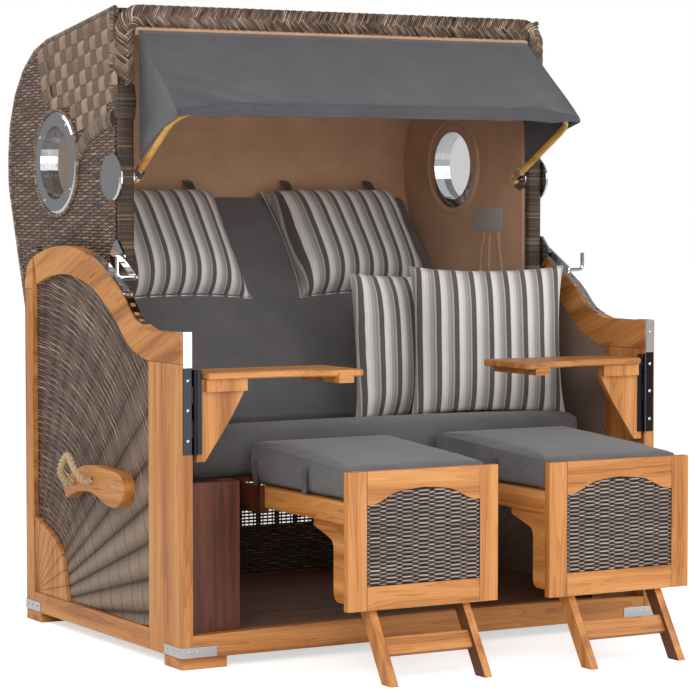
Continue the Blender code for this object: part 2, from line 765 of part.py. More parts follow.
def cushion(name, corners, crowns, centre, half, parent, rows=6, plain=()):
    """Make a stuffed cushion from its side view: each edge but the plain ones draws in at the ends."""
    bm = bmesh.new()
    flat = inset_corners([(u, v, 0.0) for u, v, _ in corners], crowns)
    radii = [radius or CUSHION_EDGE_RADIUS for _, _, radius in corners]
    places = []
    for share in (0.0, 0.3, 1.0):
        places.append(-half + CUSHION_END_ROUNDING * share)
    span = half - CUSHION_END_ROUNDING
    for column in range(1, CUSHION_COLUMNS):
        places.append(span * (2.0 * column / CUSHION_COLUMNS - 1.0))
    places += [-place for place in places[2::-1]]
    rings = []
    for place in places:
        inset = end_inset(half - abs(place))
        insets = [0.0 if index in plain else inset for index in range(len(flat))]
        drawn = inset_corners(flat, insets)
        arcs = fillet([(u, v, radius) for (u, v, _), radius in zip(drawn, radii)], 3)
        count = len(arcs) // len(flat)
        swell = 1.0 - (abs(place) / half) ** 4
        ring = []
        for index, crown in enumerate(crowns):
            arc = arcs[index * count:(index + 1) * count]
            after = arcs[(index + 1) * count % len(arcs)]
            ring += [Vector(point) for point in arc]
            run = Vector(after) - ring[-1]
            start = ring[-1].copy()
            edge = Vector(drawn[(index + 1) % len(drawn)][:2]) - Vector(drawn[index][:2])
            out = Vector((-edge.y, edge.x)).normalized()
            for row in range(1, rows):
                share = row / rows
                bulge = 1.0 - (2.0 * share - 1.0) ** 4
                ring.append(start + run * share + out * crown * bulge * swell)
        rings.append([bm.verts.new((centre + place, point.x, point.y)) for point in ring])
    for a, b in zip(rings, rings[1:]):
        for index in range(len(a)):
            after = (index + 1) % len(a)
            bm.faces.new((a[index], a[after], b[after], b[index]))
    bm.faces.new(rings[0])
    bm.faces.new(rings[-1])
    item = add(name, finish(bm, name), GREY_CLOTH, parent)
    round_shading(item)
    return item


def seat_cushion(root):
    """Make the seat cushion, a little lower at the back."""
    low = DECK_TOP + GAP
    corners = [
        (SEAT_CUSHION_FRONT, low, 0.0),
        (SEAT_CUSHION_FRONT, SEAT_CUSHION_FRONT_TOP, 0.0),
        (DECK_REAR, SEAT_CUSHION_REAR_TOP, 0.0),
        (DECK_REAR, low, 0.0),
    ]
    crowns = [SEAT_CROWN * 0.5, SEAT_CROWN, 0.0, 0.0]
    return cushion("seat_cushion", corners, crowns, 0.0, SEAT_CUSHION_HALF, root)


def seat_height(x, y):
    """Return the height of the seat cushion's crowned top."""
    share = (y - SEAT_CUSHION_FRONT) / (DECK_REAR - SEAT_CUSHION_FRONT)
    level = SEAT_CUSHION_FRONT_TOP + (SEAT_CUSHION_REAR_TOP - SEAT_CUSHION_FRONT_TOP) * share
    across = 1.0 - min(abs(x) / SEAT_CUSHION_HALF, 1.0) ** 4
    along = 1.0 - min(abs(2.0 * share - 1.0), 1.0) ** 4
    return level - SEAT_CROWN * (1.0 - across * along)


def post_leaf(side, root):
    """Make the metal strip on the front post: hinge leaf, knuckles, pin and top wrap."""
    name = "post_leaf_" + side
    sign = SIGNS[side]
    axis_x = BASE_WIDTH * 0.5 - TRAY_PIVOT_INSET
    near = axis_x + LEAF_CLEARANCE
    far = near + LEAF_WIDTH
    xs = sorted((sign * near, sign * far))
    plate = box(name, (xs[0], -LEAF_THICKNESS - GAP, LEAF_BOTTOM),
                (xs[1], -GAP, ARM_HEIGHT + GAP + LEAF_THICKNESS))
    item = add(name, plate, CHROME, root)
    join(item, box("top wrap", (xs[0], -LEAF_THICKNESS - GAP, ARM_HEIGHT + GAP),
                   (xs[1], CAP_WRAP, ARM_HEIGHT + GAP + LEAF_THICKNESS)))
    pin = rod("pin", "Z", HINGE_PIN_RADIUS, LEAF_BOTTOM, LEAF_TOP)
    pin.transform(Matrix.Translation((sign * axis_x, TRAY_PIVOT_Y, 0.0)))
    join(item, pin)
    length = (LEAF_TOP - LEAF_BOTTOM) / KNUCKLE_COUNT
    for index in range(0, KNUCKLE_COUNT, 2):
        low = LEAF_BOTTOM + index * length
        high = low + length
        knuckle = rod("knuckle", "Z", KNUCKLE_RADIUS, low, high)
        knuckle.transform(Matrix.Translation((sign * axis_x, TRAY_PIVOT_Y, 0.0)))
        join(item, knuckle)
        web = sorted((sign * axis_x, sign * (near + GAP)))
        join(item, box("web", (web[0], -LEAF_THICKNESS - GAP, low), (web[1], -GAP, high)))
    return item


def notch_strip(side, root):
    """Make the notched metal strip that the latch pin drops into."""
    name = "notch_strip_" + side
    sign = SIGNS[side]
    front, rear = (arm_point(share, 0.0)[0] for share in NOTCH_STRIP_SHARES)
    curve = [point for point in arm_curve() if front < point[0] < rear]
    lower = offset_curve(curve, -GAP)
    upper = offset_curve(curve, -GAP - NOTCH_STRIP_THICKNESS)
    inner = BASE_WIDTH * 0.5 - SIDE_THICKNESS + NOTCH_STRIP_INSET
    outer = BASE_WIDTH * 0.5 - NOTCH_STRIP_INSET
    outline = lower + upper[::-1]
    item = add(name, prism(name, "X", outline, sign * inner, sign * outer), STEEL, root)
    middle = (inner + outer) * 0.5
    for index in range(NOTCH_COUNT):
        place = (index + 1.0) / (NOTCH_COUNT + 1.0) * (len(curve) - 1)
        base = int(place)
        start = Vector(curve[base])
        end = Vector(curve[base + 1])
        point = start.lerp(end, place - base)
        slope = math.atan2(end.y - start.y, end.x - start.x)
        slot = box("notch", (-NOTCH_WIDTH * 0.5, -NOTCH_LENGTH * 0.5, -OVERRUN),
                   (NOTCH_WIDTH * 0.5, NOTCH_LENGTH * 0.5, OVERRUN))
        slot.transform(Matrix.Rotation(slope, 4, "X"))
        slot.transform(Matrix.Translation((sign * middle, point.x, point.y)))
        cut(item, slot)
    return item


def handle_block(side, root):
    """Make the crescent block that carries the rope handle."""
    name = "handle_block_" + side
    sign = SIGNS[side]

    def edge(shares):
        points = [(HANDLE_FRONT + HANDLE_LENGTH * u, HANDLE_BOTTOM + HANDLE_HEIGHT * v)
                  for u, v in shares]
        return smooth(points, 2)

    outline = edge(HANDLE_TOP_SHARES) + edge(HANDLE_LOW_SHARES)
    start = panel_outer() + GAP
    mesh = prism(name, "X", outline, sign * start, sign * (start + HANDLE_THICKNESS))
    item = add(name, mesh, WOOD, root)
    soften(item, EDGE_ROUNDING * 2.0)
    return item


def rope_handle(side, root):
    """Make the rope loop between the two holes of the block."""
    name = "rope_" + side
    sign = SIGNS[side]
    start = panel_outer() + GAP + HANDLE_THICKNESS + GAP
    peak = start + ROPE_STAND_OFF
    middle = start + ROPE_STAND_OFF * 0.5
    front = (ROPE_FRONT_Y, ROPE_FRONT_Z)
    rear = (ROPE_REAR_Y, ROPE_REAR_Z)
    lift = ROPE_RISE * 0.5
    keys = [
        (sign * (start + ROPE_RADIUS), *front),
        (sign * middle, *front),
        (sign * peak, ROPE_FRONT_Y + lift * 0.3, ROPE_FRONT_Z + lift),
        (sign * peak, (ROPE_FRONT_Y + ROPE_REAR_Y) * 0.5, ROPE_FRONT_Z + ROPE_RISE),
        (sign * peak, ROPE_REAR_Y - lift * 0.3, ROPE_REAR_Z + lift),
        (sign * middle, *rear),
        (sign * (start + ROPE_RADIUS), *rear),
    ]
    path = [(sign * start, *front)] + smooth(keys) + [(sign * start, *rear)]
    item = add(name, tube(name, path, ROPE_RADIUS, ROPE_SIDES), ROPE, root)
    round_shading(item)
    return item


def hood_corners():
    """Return the corners of the hood's side view."""
    return [
        (HOOD_FRONT, HOOD_ROOF_FRONT, 0.0),
        (HOOD_REAR, HOOD_ROOF_REAR, HOOD_ROOF_RADIUS),
        (HOOD_REAR, HOOD_BEND_Z, HOOD_BACK_RADIUS),
        (HOOD_BOTTOM_Y, HOOD_BOTTOM_Z, 0.0),
        (HOOD_FRONT, HOOD_TONGUE_CORNER, HOOD_TONGUE_RADIUS),
    ]


def hood_insets(wall):
    """Return the hood outline's insets for a wall: roof, back and lower back only."""
    return [wall, wall, wall, 0.0, 0.0]


def hood_layer(name, outer_inset, wall, look, parent):
    """Make one U-shaped layer of the hood: two sides with the roof and the back."""
    outline = fillet(inset_corners(hood_corners(), hood_insets(outer_inset)))
    half = HOOD_HALF_WIDTH - outer_inset
    mesh = prism(name, "X", outline, -half, half)
    item = add(name, mesh, look, parent)
    inner = inset_corners(hood_corners(), hood_insets(outer_inset + wall))
    overrun = HOOD_TONGUE_RADIUS
    cavity = inset_corners(inner, [0.0, 0.0, 0.0, -overrun, -overrun])
    cavity = [(u, v, radius) for u, v, radius in cavity[:3]] + [(u, v, 0.0) for u, v, _ in cavity[3:]]
    half -= wall
    cut(item, prism("inside", "X", fillet(cavity), -half, half))
    return item


def hood_shell(parent):
    """Make the hood's woven shell, with the pivot bosses and the wall openings."""
    item = hood_layer("hood_shell", 0.0, HOOD_WALL, WICKER, parent)
    for sign in SIGNS.values():
        end = BASE_WIDTH * 0.5 - SIDE_THICKNESS
        start = HOOD_HALF_WIDTH - HOOD_WALL * 0.5
        boss = rod("pivot boss", "X", PIVOT_BOSS_RADIUS, sign * start, sign * end, 24)
        boss.transform(Matrix.Translation((0.0, *HOOD_PIVOT)))
        join(item, boss)
    wall_holes(item)
    return item


def wall_holes(item):
    """Cut the porthole and the awning axle's hole through both walls."""
    reach = HOOD_HALF_WIDTH + OVERRUN
    hole = rod("porthole", "X", PORTHOLE_TUBE_RADIUS + GAP, -reach, reach, ROUND_STEPS)
    hole.transform(Matrix.Translation((0.0, PORTHOLE_Y, PORTHOLE_Z)))
    cut(item, hole)
    hole = rod("axle hole", "X", AWNING_AXLE_RADIUS + GAP, -reach, reach, 24)
    hole.transform(Matrix.Translation((0.0, *AWNING_PIVOT)))
    cut(item, hole)


def hood_lining(parent):
    """Make the padded cloth lining inside the shell."""
    item = hood_layer("hood_lining", HOOD_WALL + GAP, LINING_THICKNESS, LINING, parent)
    wall_holes(item)
    return item


def hood_rim(parent):
    """Make the arched frame round the hood's mouth."""
    name = "hood_rim"
    half = HOOD_HALF_WIDTH
    inner = half - RIM_SIDE
    top = RIM_TOP - RIM_TOP_BAND
    corners = [
        (-half, RIM_FOOT, 0.0), (-half, RIM_TOP, RIM_CORNER_RADIUS),
        (half, RIM_TOP, RIM_CORNER_RADIUS), (half, RIM_FOOT, 0.0),
        (inner, RIM_FOOT, 0.0), (inner, top, RIM_INNER_RADIUS),
        (-inner, top, RIM_INNER_RADIUS), (-inner, RIM_FOOT, 0.0),
    ]
    rear = HOOD_FRONT - GAP
    mesh = prism(name, "Y", fillet(corners), rear - RIM_DEPTH, rear)
    item = add(name, mesh, RIM_WICKER, parent)
    return item


def porthole(side, parent):
    """Make one porthole: flanged tube through the wall, with its glass."""
    sign = SIGNS[side]
    outer = HOOD_HALF_WIDTH + GAP
    flange = outer + PORTHOLE_FLANGE_THICKNESS
    inner = HOOD_HALF_WIDTH - HOOD_WALL - LINING_THICKNESS - PORTHOLE_INNER_LIP
    profile = [
        (PORTHOLE_OPENING_RADIUS, sign * inner),
        (PORTHOLE_TUBE_RADIUS, sign * inner),
        (PORTHOLE_TUBE_RADIUS, sign * outer),
        (PORTHOLE_FLANGE_RADIUS, sign * outer),
        (PORTHOLE_FLANGE_RADIUS, sign * (outer + PORTHOLE_FLANGE_THICKNESS * 0.5)),
        (PORTHOLE_FLANGE_RADIUS - PORTHOLE_FLANGE_THICKNESS, sign * flange),
        (PORTHOLE_OPENING_RADIUS, sign * flange),
        (PORTHOLE_OPENING_RADIUS, sign * inner),
    ]
    name = "porthole_ring_" + side
    item = add(name, turned(name, "X", profile), CHROME, parent, (0.0, PORTHOLE_Y, PORTHOLE_Z))
    round_shading(item)
    name = "porthole_glass_" + side
    middle = HOOD_HALF_WIDTH - HOOD_WALL
    disc = rod(name, "X", PORTHOLE_OPENING_RADIUS - GAP, sign * middle,
               sign * (middle + GLASS_THICKNESS), ROUND_STEPS)
    item = add(name, disc, GLASS, parent, (0.0, PORTHOLE_Y, PORTHOLE_Z))
    round_shading(item)


def back_point(rise, depth):
    """Return a point of the leaning back: up its face and behind it."""
    along = Vector((math.cos(BACK_ANGLE), math.sin(BACK_ANGLE)))
    behind = Vector((math.sin(BACK_ANGLE), -math.cos(BACK_ANGLE)))
    return Vector((BACK_FOOT_Y, BACK_FOOT_Z)) + along * rise + behind * depth


def back_outline(front, rear):
    """Return the side view of a layer of the leaning back that ends against the lining."""
    wall = HOOD_WALL + GAP + LINING_THICKNESS + GAP
    corners = inset_corners(hood_corners(), hood_insets(wall))
    bend = corners[2]
    lower = (bend[:2], corners[3][:2])
    upper = (corners[1][:2], bend[:2])
    foot = back_point(0.0, front)
    head = back_point(BASE_DEPTH, front)
    top = crossing(foot, head, *upper)
    if top[1] > bend[1]:
        ends = [(*top, 0.0), bend]
    else:
        ends = [(*crossing(foot, head, *lower), 0.0)]
    heel = back_point(0.0, rear)
    ends.append((*crossing(heel, back_point(BASE_DEPTH, rear), *lower), 0.0))
    return [(*foot, 0.0)] + ends + [(*heel, 0.0)]


def backrest(parent):
    """Make the board and the cushion that lean with the hood."""
    name = "backrest_panel"
    outline = fillet(back_outline(BACK_CUSHION_THICKNESS + GAP,
                                  BACK_CUSHION_THICKNESS + BACKREST_THICKNESS))
    half = INSIDE_HALF_WIDTH - GAP * 3.0
    add(name, prism(name, "X", outline, -half, half), WOOD, parent)
    outline = back_outline(0.0, BACK_CUSHION_THICKNESS)
    corners = [outline[0], (*outline[1][:2], BACK_TOP_RADIUS), outline[-2], outline[-1]]
    crowns = [BACK_CROWN, 0.0, 0.0, 0.0]
    cushion("back_cushion", corners, crowns, 0.0, SEAT_CUSHION_HALF, parent, 8, (1,))


def pad(name, width, height, front, behind):
    """Make a pillow about its seam, with a crown before and behind it and drawn-in sides."""
    bm = bmesh.new()
    edge = (1.0 - PILLOW_CROWN_SHARE) * 0.5

    def grid(depth):
        made = []
        for row in range(PILLOW_ROWS + 1):
            line = []
            v = -1.0 + 2.0 * row / PILLOW_ROWS
            for column in range(PILLOW_COLUMNS + 1):
                u = -1.0 + 2.0 * column / PILLOW_COLUMNS
                bulge = (1.0 - u ** 4) * (1.0 - v ** 4)
                across = u * width * 0.5 * (1.0 - PILLOW_DRAW_SHARE * (1.0 - v * v))
                along = v * height * 0.5 * (1.0 - PILLOW_DRAW_SHARE * (1.0 - u * u))
                scale = 1.0 - PILLOW_EDGE_SHARE
                level = depth * (edge + (1.0 - edge) * bulge)
                line.append(bm.verts.new((across * scale, along * scale, level)))
            made.append(line)
        return made

    def border(layer):
        ring = [layer[0][c] for c in range(PILLOW_COLUMNS)]
        ring += [layer[r][PILLOW_COLUMNS] for r in range(PILLOW_ROWS)]
        ring += [layer[PILLOW_ROWS][c] for c in range(PILLOW_COLUMNS, 0, -1)]
        ring += [layer[r][0] for r in range(PILLOW_ROWS, 0, -1)]
        return ring

    top = grid(front)
    bottom = grid(-behind)
    for layer in (top, bottom):
        for row in range(PILLOW_ROWS):
            for column in range(PILLOW_COLUMNS):
                bm.faces.new((layer[row][column], layer[row][column + 1],
                              layer[row + 1][column + 1], layer[row + 1][column]))
    upper = border(top)
    lower = border(bottom)
    seam = []
    for vert in upper:
        scale = 1.0 / (1.0 - PILLOW_EDGE_SHARE)
        seam.append(bm.verts.new((vert.co.x * scale, vert.co.y * scale, 0.0)))
    count = len(seam)
    for a, b in ((upper, seam), (seam, lower)):
        for index in range(count):
            after = (index + 1) % count
            bm.faces.new((a[index], a[after], b[after], b[index]))
    return finish(bm, name)


def neck_pillow(side, share, parent):
    """Lay a pillow on the leaning back, its seam near the cushion."""
    name = "neck_pillow_" + side
    front = NECK_PILLOW_THICKNESS * (1.0 - PILLOW_EDGE_SHARE)
    behind = NECK_PILLOW_THICKNESS * PILLOW_EDGE_SHARE
    place = back_point(NECK_PILLOW_RISE, -GAP - behind)
    mesh = pad(name, NECK_PILLOW_WIDTH, NECK_PILLOW_HEIGHT, front, behind)
    x = INSIDE_HALF_WIDTH * share
    item = add(name, mesh, STRIPED_CLOTH, parent, (x, place.x, place.y), BACK_ANGLE)
    round_shading(item)
    return item


def square_pillow(side, share, y, turn, root):
    """Stand a pillow on the seat cushion."""
    name = "square_pillow_" + side
    crown = SQUARE_PILLOW_THICKNESS * 0.5
    mesh = pad(name, SQUARE_PILLOW_SIZE, SQUARE_PILLOW_HEIGHT, crown, crown)
    x = INSIDE_HALF_WIDTH * share
    spin = Matrix.Rotation(turn, 3, "Z") @ Matrix.Rotation(SQUARE_PILLOW_LEAN, 3, "X")
    rise = 0.0
    for vert in mesh.vertices:
        point = spin @ vert.co
        rise = max(rise, seat_height(x + point.x, y + point.y) - point.z)
    place = (x, y, rise + GAP)
    item = add(name, mesh, STRIPED_CLOTH, root, place, SQUARE_PILLOW_LEAN, turn)
    round_shading(item)
    return item


def awning_pivot(side, parent):
    """Make the pair of chrome discs and the axle that carry the awning's bow."""
    name = "awning_pivot_" + side
    sign = SIGNS[side]
    outer = HOOD_HALF_WIDTH + GAP
    inner = INSIDE_HALF_WIDTH - GAP * 3.0
    stud = BOW_HALF_WIDTH - BOW_THICKNESS * 0.5
    bevel = AWNING_DISC_THICKNESS * 0.5
    profile = [
        (AWNING_DISC_RADIUS - bevel, sign * (outer + AWNING_DISC_THICKNESS)),
        (AWNING_DISC_RADIUS, sign * (outer + bevel)),
        (AWNING_DISC_RADIUS, sign * outer),
        (AWNING_AXLE_RADIUS, sign * outer),
        (AWNING_AXLE_RADIUS, sign * inner),
        (AWNING_DISC_RADIUS * 0.5, sign * inner),
        (AWNING_DISC_RADIUS * 0.5, sign * (inner - AWNING_DISC_THICKNESS * 0.5)),
        (AWNING_STUD_RADIUS, sign * (inner - AWNING_DISC_THICKNESS * 0.5)),
        (AWNING_STUD_RADIUS, sign * stud),
    ]
    mesh = turned(name, "X", profile, 24)
    item = add(name, mesh, CHROME, parent, (0.0, *AWNING_PIVOT))
    round_shading(item)
    return item


def awning_bow(parent):
    """Make the bent wooden slat that holds the awning's front edge."""
    name = "awning_bow"
    arm = Vector((0.0, *AWNING_PIVOT))
    front = Vector((0.0, *BOW_FRONT))
    corner = BOW_CORNER_RADIUS
    path = []
    for sign in (-1.0, 1.0):
        start = arm + Vector((sign * BOW_HALF_WIDTH, 0.0, 0.0))
        end = front + Vector((sign * BOW_FRONT_HALF_WIDTH, 0.0, 0.0))
        along = (start - end).normalized()
        across = Vector((-sign, 0.0, 0.0))
        bend = []
        steps = 6
        for step in range(steps + 1):
            share = step / steps
            first = end + along * corner * (1.0 - share)
            second = end + across * corner * share
            bend.append(first.lerp(second, share))
        run = [start + (end - start).normalized() * BOW_EYE_LAP] + bend
        path += run if sign < 0.0 else run[::-1]
    mesh = tube(name, path, BOW_WIDTH * 0.5, BOW_SIDES, BOW_THICKNESS)
    item = add(name, mesh, PALE_WOOD, parent)
    for sign in (-1.0, 1.0):
        reach = BOW_THICKNESS * 0.5
        low, high = sorted((sign * (BOW_HALF_WIDTH - reach), sign * (BOW_HALF_WIDTH + reach)))
        eye = rod("eye", "X", BOW_EYE_RADIUS, low, high, 20)
        eye.transform(Matrix.Translation((0.0, *AWNING_PIVOT)))
        join(item, eye)
    for sign in (-1.0, 1.0):
        reach = BOW_THICKNESS * 0.5 + OVERRUN
        low, high = sorted((sign * (BOW_HALF_WIDTH - reach), sign * (BOW_HALF_WIDTH + reach)))
        bore = rod("eye bore", "X", AWNING_STUD_RADIUS + EYE_CLEARANCE, low, high, 20)
        bore.transform(Matrix.Translation((0.0, *AWNING_PIVOT)))
        cut(item, bore)
    return item


def canopy(parent):
    """Make the awning's cloth: a sagging sheet over the bow, its hem and its side gussets."""
    name = "canopy"
    rear = Vector((CANOPY_REAR_Y, CANOPY_REAR_Z))
    bow = Vector(BOW_FRONT)
    pivot = Vector(AWNING_PIVOT)
    along = (bow - pivot).normalized()
    across = Vector((along.y, -along.x))
    wide = across * (BOW_WIDTH * 0.5 + GAP * 1.5)
    deep = along * (BOW_THICKNESS * 0.5 + GAP * 1.5)
    pull = bow + wide - rear
    first = math.atan2(-pull.dot(wide) / wide.length_squared, pull.dot(deep) / deep.length_squared)
    last = math.pi - math.atan2(-deep.x, wide.x)
    over = bow + wide * math.cos(first) + deep * math.sin(first)
    curve = []
    steps = 6
    for step in range(steps + 1):
        share = step / steps
        sag = CANOPY_SAG * 4.0 * share * (1.0 - share)
        curve.append(tuple(rear.lerp(over, share) - Vector((0.0, sag))))
    for step in range(1, steps + 1):
        angle = first + (last - first) * step / steps
        curve.append(tuple(bow + wide * math.cos(angle) + deep * math.sin(angle)))
    curve.append((curve[-1][0], bow.y - CANOPY_HEM))
    upper = offset_curve(curve, CANOPY_THICKNESS)
    outline = curve + upper[::-1]
    half = CANOPY_HALF_WIDTH
    item = add(name, prism(name, "X", outline, -half, half), GREY_CLOTH, parent)
    behind = across * GUSSET_SETBACK
    start = pivot + behind
    foot = crossing(start, start + along, (CANOPY_REAR_Y, 0.0), (CANOPY_REAR_Y, RIM_TOP))
    lap = Vector((0.0, CANOPY_THICKNESS * 0.5))
    gusset = [foot, tuple(bow + behind)] + [tuple(Vector(p) + lap) for p in curve[steps::-1]]
    for sign in SIGNS.values():
        far = half - GAP
        join(item, prism("gusset", "X", gusset, sign * (far - CANOPY_THICKNESS), sign * far))
    return item


def latch_plate(side, parent):
    """Make the diamond plate on the hood's side, with the lever's stud."""
    name = "latch_plate_" + side
    sign = SIGNS[side]
    y, z = LATCH_PLATE_CENTRE
    half = LATCH_PLATE_HALF
    outline = fillet([
        (y - half, z, LATCH_ARM_RADIUS), (y, z + half, LATCH_ARM_RADIUS),
        (y + half, z, LATCH_ARM_RADIUS), (y, z - half, LATCH_ARM_RADIUS),
    ], 3)
    start = HOOD_HALF_WIDTH + GAP
    end = start + LATCH_PLATE_THICKNESS
    item = add(name, prism(name, "X", outline, sign * start, sign * end), CHROME, parent)
    stud_end = end + GAP * 3.0 + LATCH_ARM_THICKNESS
    stud = rod("stud", "X", LATCH_STUD_RADIUS, sign * (start + GAP), sign * stud_end)
    stud.transform(Matrix.Translation((0.0, *LATCH_PIVOT)))
    join(item, stud)
    return item


def latch_lever(side, parent):
    """Make the latch lever: flat arm, pin across the notch strip and upright handle."""
    name = "latch_lever_" + side
    sign = SIGNS[side]
    start = HOOD_HALF_WIDTH + GAP + LATCH_PLATE_THICKNESS + GAP
    end = start + LATCH_ARM_THICKNESS
    a = Vector(LATCH_PIVOT)
    b = Vector(LATCH_PIN)
    run = (b - a).normalized()
    cross = Vector((-run.y, run.x)) * LATCH_ARM_RADIUS
    outline = []
    steps = 6
    for centre, first in ((a, 1.0), (b, -1.0)):
        for step in range(steps + 1):
            angle = math.pi * step / steps
            outline.append(tuple(centre + cross * math.cos(angle) * first
                                 - run * LATCH_ARM_RADIUS * math.sin(angle) * first))
    item = add(name, prism(name, "X", outline, sign * start, sign * end), STEEL, parent)
    bore = rod("bore", "X", LATCH_STUD_RADIUS + EYE_CLEARANCE, sign * (start - OVERRUN),
               sign * (end + OVERRUN))
    bore.transform(Matrix.Translation((0.0, *LATCH_PIVOT)))
    cut(item, bore)
    corner = Vector((sign * LATCH_PIN_REACH, *LATCH_PIN))
    bend = LATCH_PIN_RADIUS * 2.0
    path = [
        (sign * (start + LATCH_ARM_THICKNESS * 0.5), *LATCH_PIN),
        corner - Vector((sign * bend, 0.0, 0.0)),
        corner + Vector((-sign * bend, 0.0, bend)) * 0.3,
        corner + Vector((0.0, 0.0, bend)),
        corner + Vector((0.0, 0.0, LATCH_HANDLE_LENGTH)),
    ]
    join(item, tube("pin", path, LATCH_PIN_RADIUS, 10))
    return item


def tray_board(side, parent):
    """Make the tray's board, wider at its free end, with the batten under it."""
    name = "tray_top_" + side
    sign = SIGNS[side]
    edge = BASE_WIDTH * 0.5
    corners = [
        (edge - TRAY_NEAR, TRAY_REAR, TRAY_CORNER_RADIUS),
        (edge - TRAY_FAR, TRAY_REAR, TRAY_CORNER_RADIUS),
        (edge - TRAY_FAR, TRAY_FRONT_FAR, TRAY_CORNER_RADIUS),
        (edge - (TRAY_NEAR + TRAY_FAR) * 0.5, TRAY_FRONT_NEAR, TRAY_WAIST_RADIUS),
        (edge - TRAY_NEAR, TRAY_FRONT_NEAR, EDGE_ROUNDING * 4.0),
    ]
    outline = [(sign * u, v) for u, v in fillet(corners, 4)]
    item = add(name, prism(name, "Z", outline, TRAY_TOP - TRAY_THICKNESS, TRAY_TOP), WOOD, parent)
    soften(item, EDGE_ROUNDING * 2.0)
    far = edge - TRAY_FAR + TRAY_BATTEN_END
    xs = sorted((sign * far, sign * (far + TRAY_BATTEN_WIDTH)))
    low = TRAY_TOP - TRAY_THICKNESS - TRAY_BATTEN_THICKNESS
    join(item, box("batten", (xs[0], TRAY_FRONT_FAR + TRAY_BATTEN_THICKNESS, low),
                   (xs[1], TRAY_REAR - TRAY_BATTEN_THICKNESS, TRAY_TOP - TRAY_THICKNESS * 0.5)))
    return item


def tray_bracket(side, parent):
    """Make the wooden bracket under the tray's hinge end, with its batten."""
    name = "tray_bracket_" + side
    sign = SIGNS[side]
    edge = BASE_WIDTH * 0.5
    near = TRAY_PIVOT_INSET + LEAF_CLEARANCE
    top = TRAY_TOP - TRAY_THICKNESS - GAP
    curve = smooth((
        (BRACKET_FAR, BRACKET_SHOULDER),
        ((BRACKET_FAR + near + BRACKET_TIP_WIDTH) * 0.5 + BRACKET_BULGE,
         (BRACKET_SHOULDER + BRACKET_TIP) * 0.5 + BRACKET_BULGE),
        (near + BRACKET_TIP_WIDTH, BRACKET_TIP),
    ))
    outline = [(near, top), (BRACKET_FAR, top)] + curve + [(near, BRACKET_TIP)]
    outline = [(sign * (edge - u), v) for u, v in outline]
    item = add(name, prism(name, "Y", outline, 0.0, BRACKET_THICKNESS), WOOD, parent)
    xs = sorted((sign * (edge - TRAY_NEAR), sign * (edge - BRACKET_FAR)))
    join(item, box("batten", (xs[0], -BRACKET_BATTEN_DEPTH, BRACKET_SHOULDER),
                   (xs[1], BRACKET_THICKNESS * 0.5, top)))
    return item


def tray_leaf(side, parent):
    """Make the hinge leaf on the bracket, with its ring knuckles round the pin."""
    name = "tray_leaf_" + side
    sign = SIGNS[side]
    axis_x = BASE_WIDTH * 0.5 - TRAY_PIVOT_INSET
    near = axis_x - LEAF_CLEARANCE
    far = near - MOVING_LEAF_WIDTH
    xs = sorted((sign * near, sign * far))
    plate = box(name, (xs[0], -LEAF_THICKNESS - GAP, LEAF_BOTTOM), (xs[1], -GAP, LEAF_TOP))
    item = add(name, plate, CHROME, parent)
    length = (LEAF_TOP - LEAF_BOTTOM) / KNUCKLE_COUNT
    for index in range(1, KNUCKLE_COUNT, 2):
        low = LEAF_BOTTOM + index * length + GAP
        high = LEAF_BOTTOM + (index + 1.0) * length - GAP
        knuckle = rod("knuckle", "Z", KNUCKLE_RADIUS, low, high)
        knuckle.transform(Matrix.Translation((sign * axis_x, TRAY_PIVOT_Y, 0.0)))
        join(item, knuckle)
        web = sorted((sign * axis_x, sign * (near - GAP)))
        join(item, box("web", (web[0], -LEAF_THICKNESS - GAP, low), (web[1], -GAP, high)))
    bore = rod("bore", "Z", HINGE_BORE_RADIUS, LEAF_BOTTOM - OVERRUN, LEAF_TOP + OVERRUN)
    bore.transform(Matrix.Translation((sign * axis_x, TRAY_PIVOT_Y, 0.0)))
    cut(item, bore)
    return item


def panel_top(half, shoulder, top):
    """Return the footrest panel's ogee-arched top edge, from right to left."""
    keys = [
        (half, shoulder),
        (half * OGEE_FOOT_SHARE, shoulder + (top - shoulder) * OGEE_LOW_SHARE),
        (half * OGEE_RISE_SHARE, shoulder + (top - shoulder) * OGEE_HIGH_SHARE),
        (0.0, top),
    ]
    right = smooth(keys, 3)
    return right + [(-u, v) for u, v in right[-2::-1]]


def footrest_panel(side, front, centre, parent):
    """Make the footrest's framed front panel and its woven infill."""
    name = "footrest_panel_" + side
    half = FOOTREST_WIDTH * 0.5
    rear = front + FOOTREST_THICKNESS
    low = (centre - half, front, FOOTREST_BOTTOM)
    high = (centre + half, rear, FOOTREST_TOP)
    item = add(name, box(name, low, high), WOOD, parent)

    def inner(clearance):
        side_in = half - FOOTREST_STILE - clearance
        low = FOOTREST_BOTTOM + FOOTREST_LOW_RAIL + clearance
        top = FOOTREST_TOP - FOOTREST_TOP_RAIL - clearance
        points = panel_top(side_in, top - FOOTREST_ARCH_RISE, top)
        points += [(-side_in, low), (side_in, low)]
        return [(centre + u, v) for u, v in points]

    cut(item, prism("opening", "Y", inner(0.0), front - OVERRUN, rear + OVERRUN))
    name = "footrest_infill_" + side
    middle = (front + rear) * 0.5
    mesh = prism(name, "Y", inner(GAP), middle - FOOTREST_INFILL * 0.5, middle + FOOTREST_INFILL * 0.5)
    add(name, mesh, WICKER, parent)


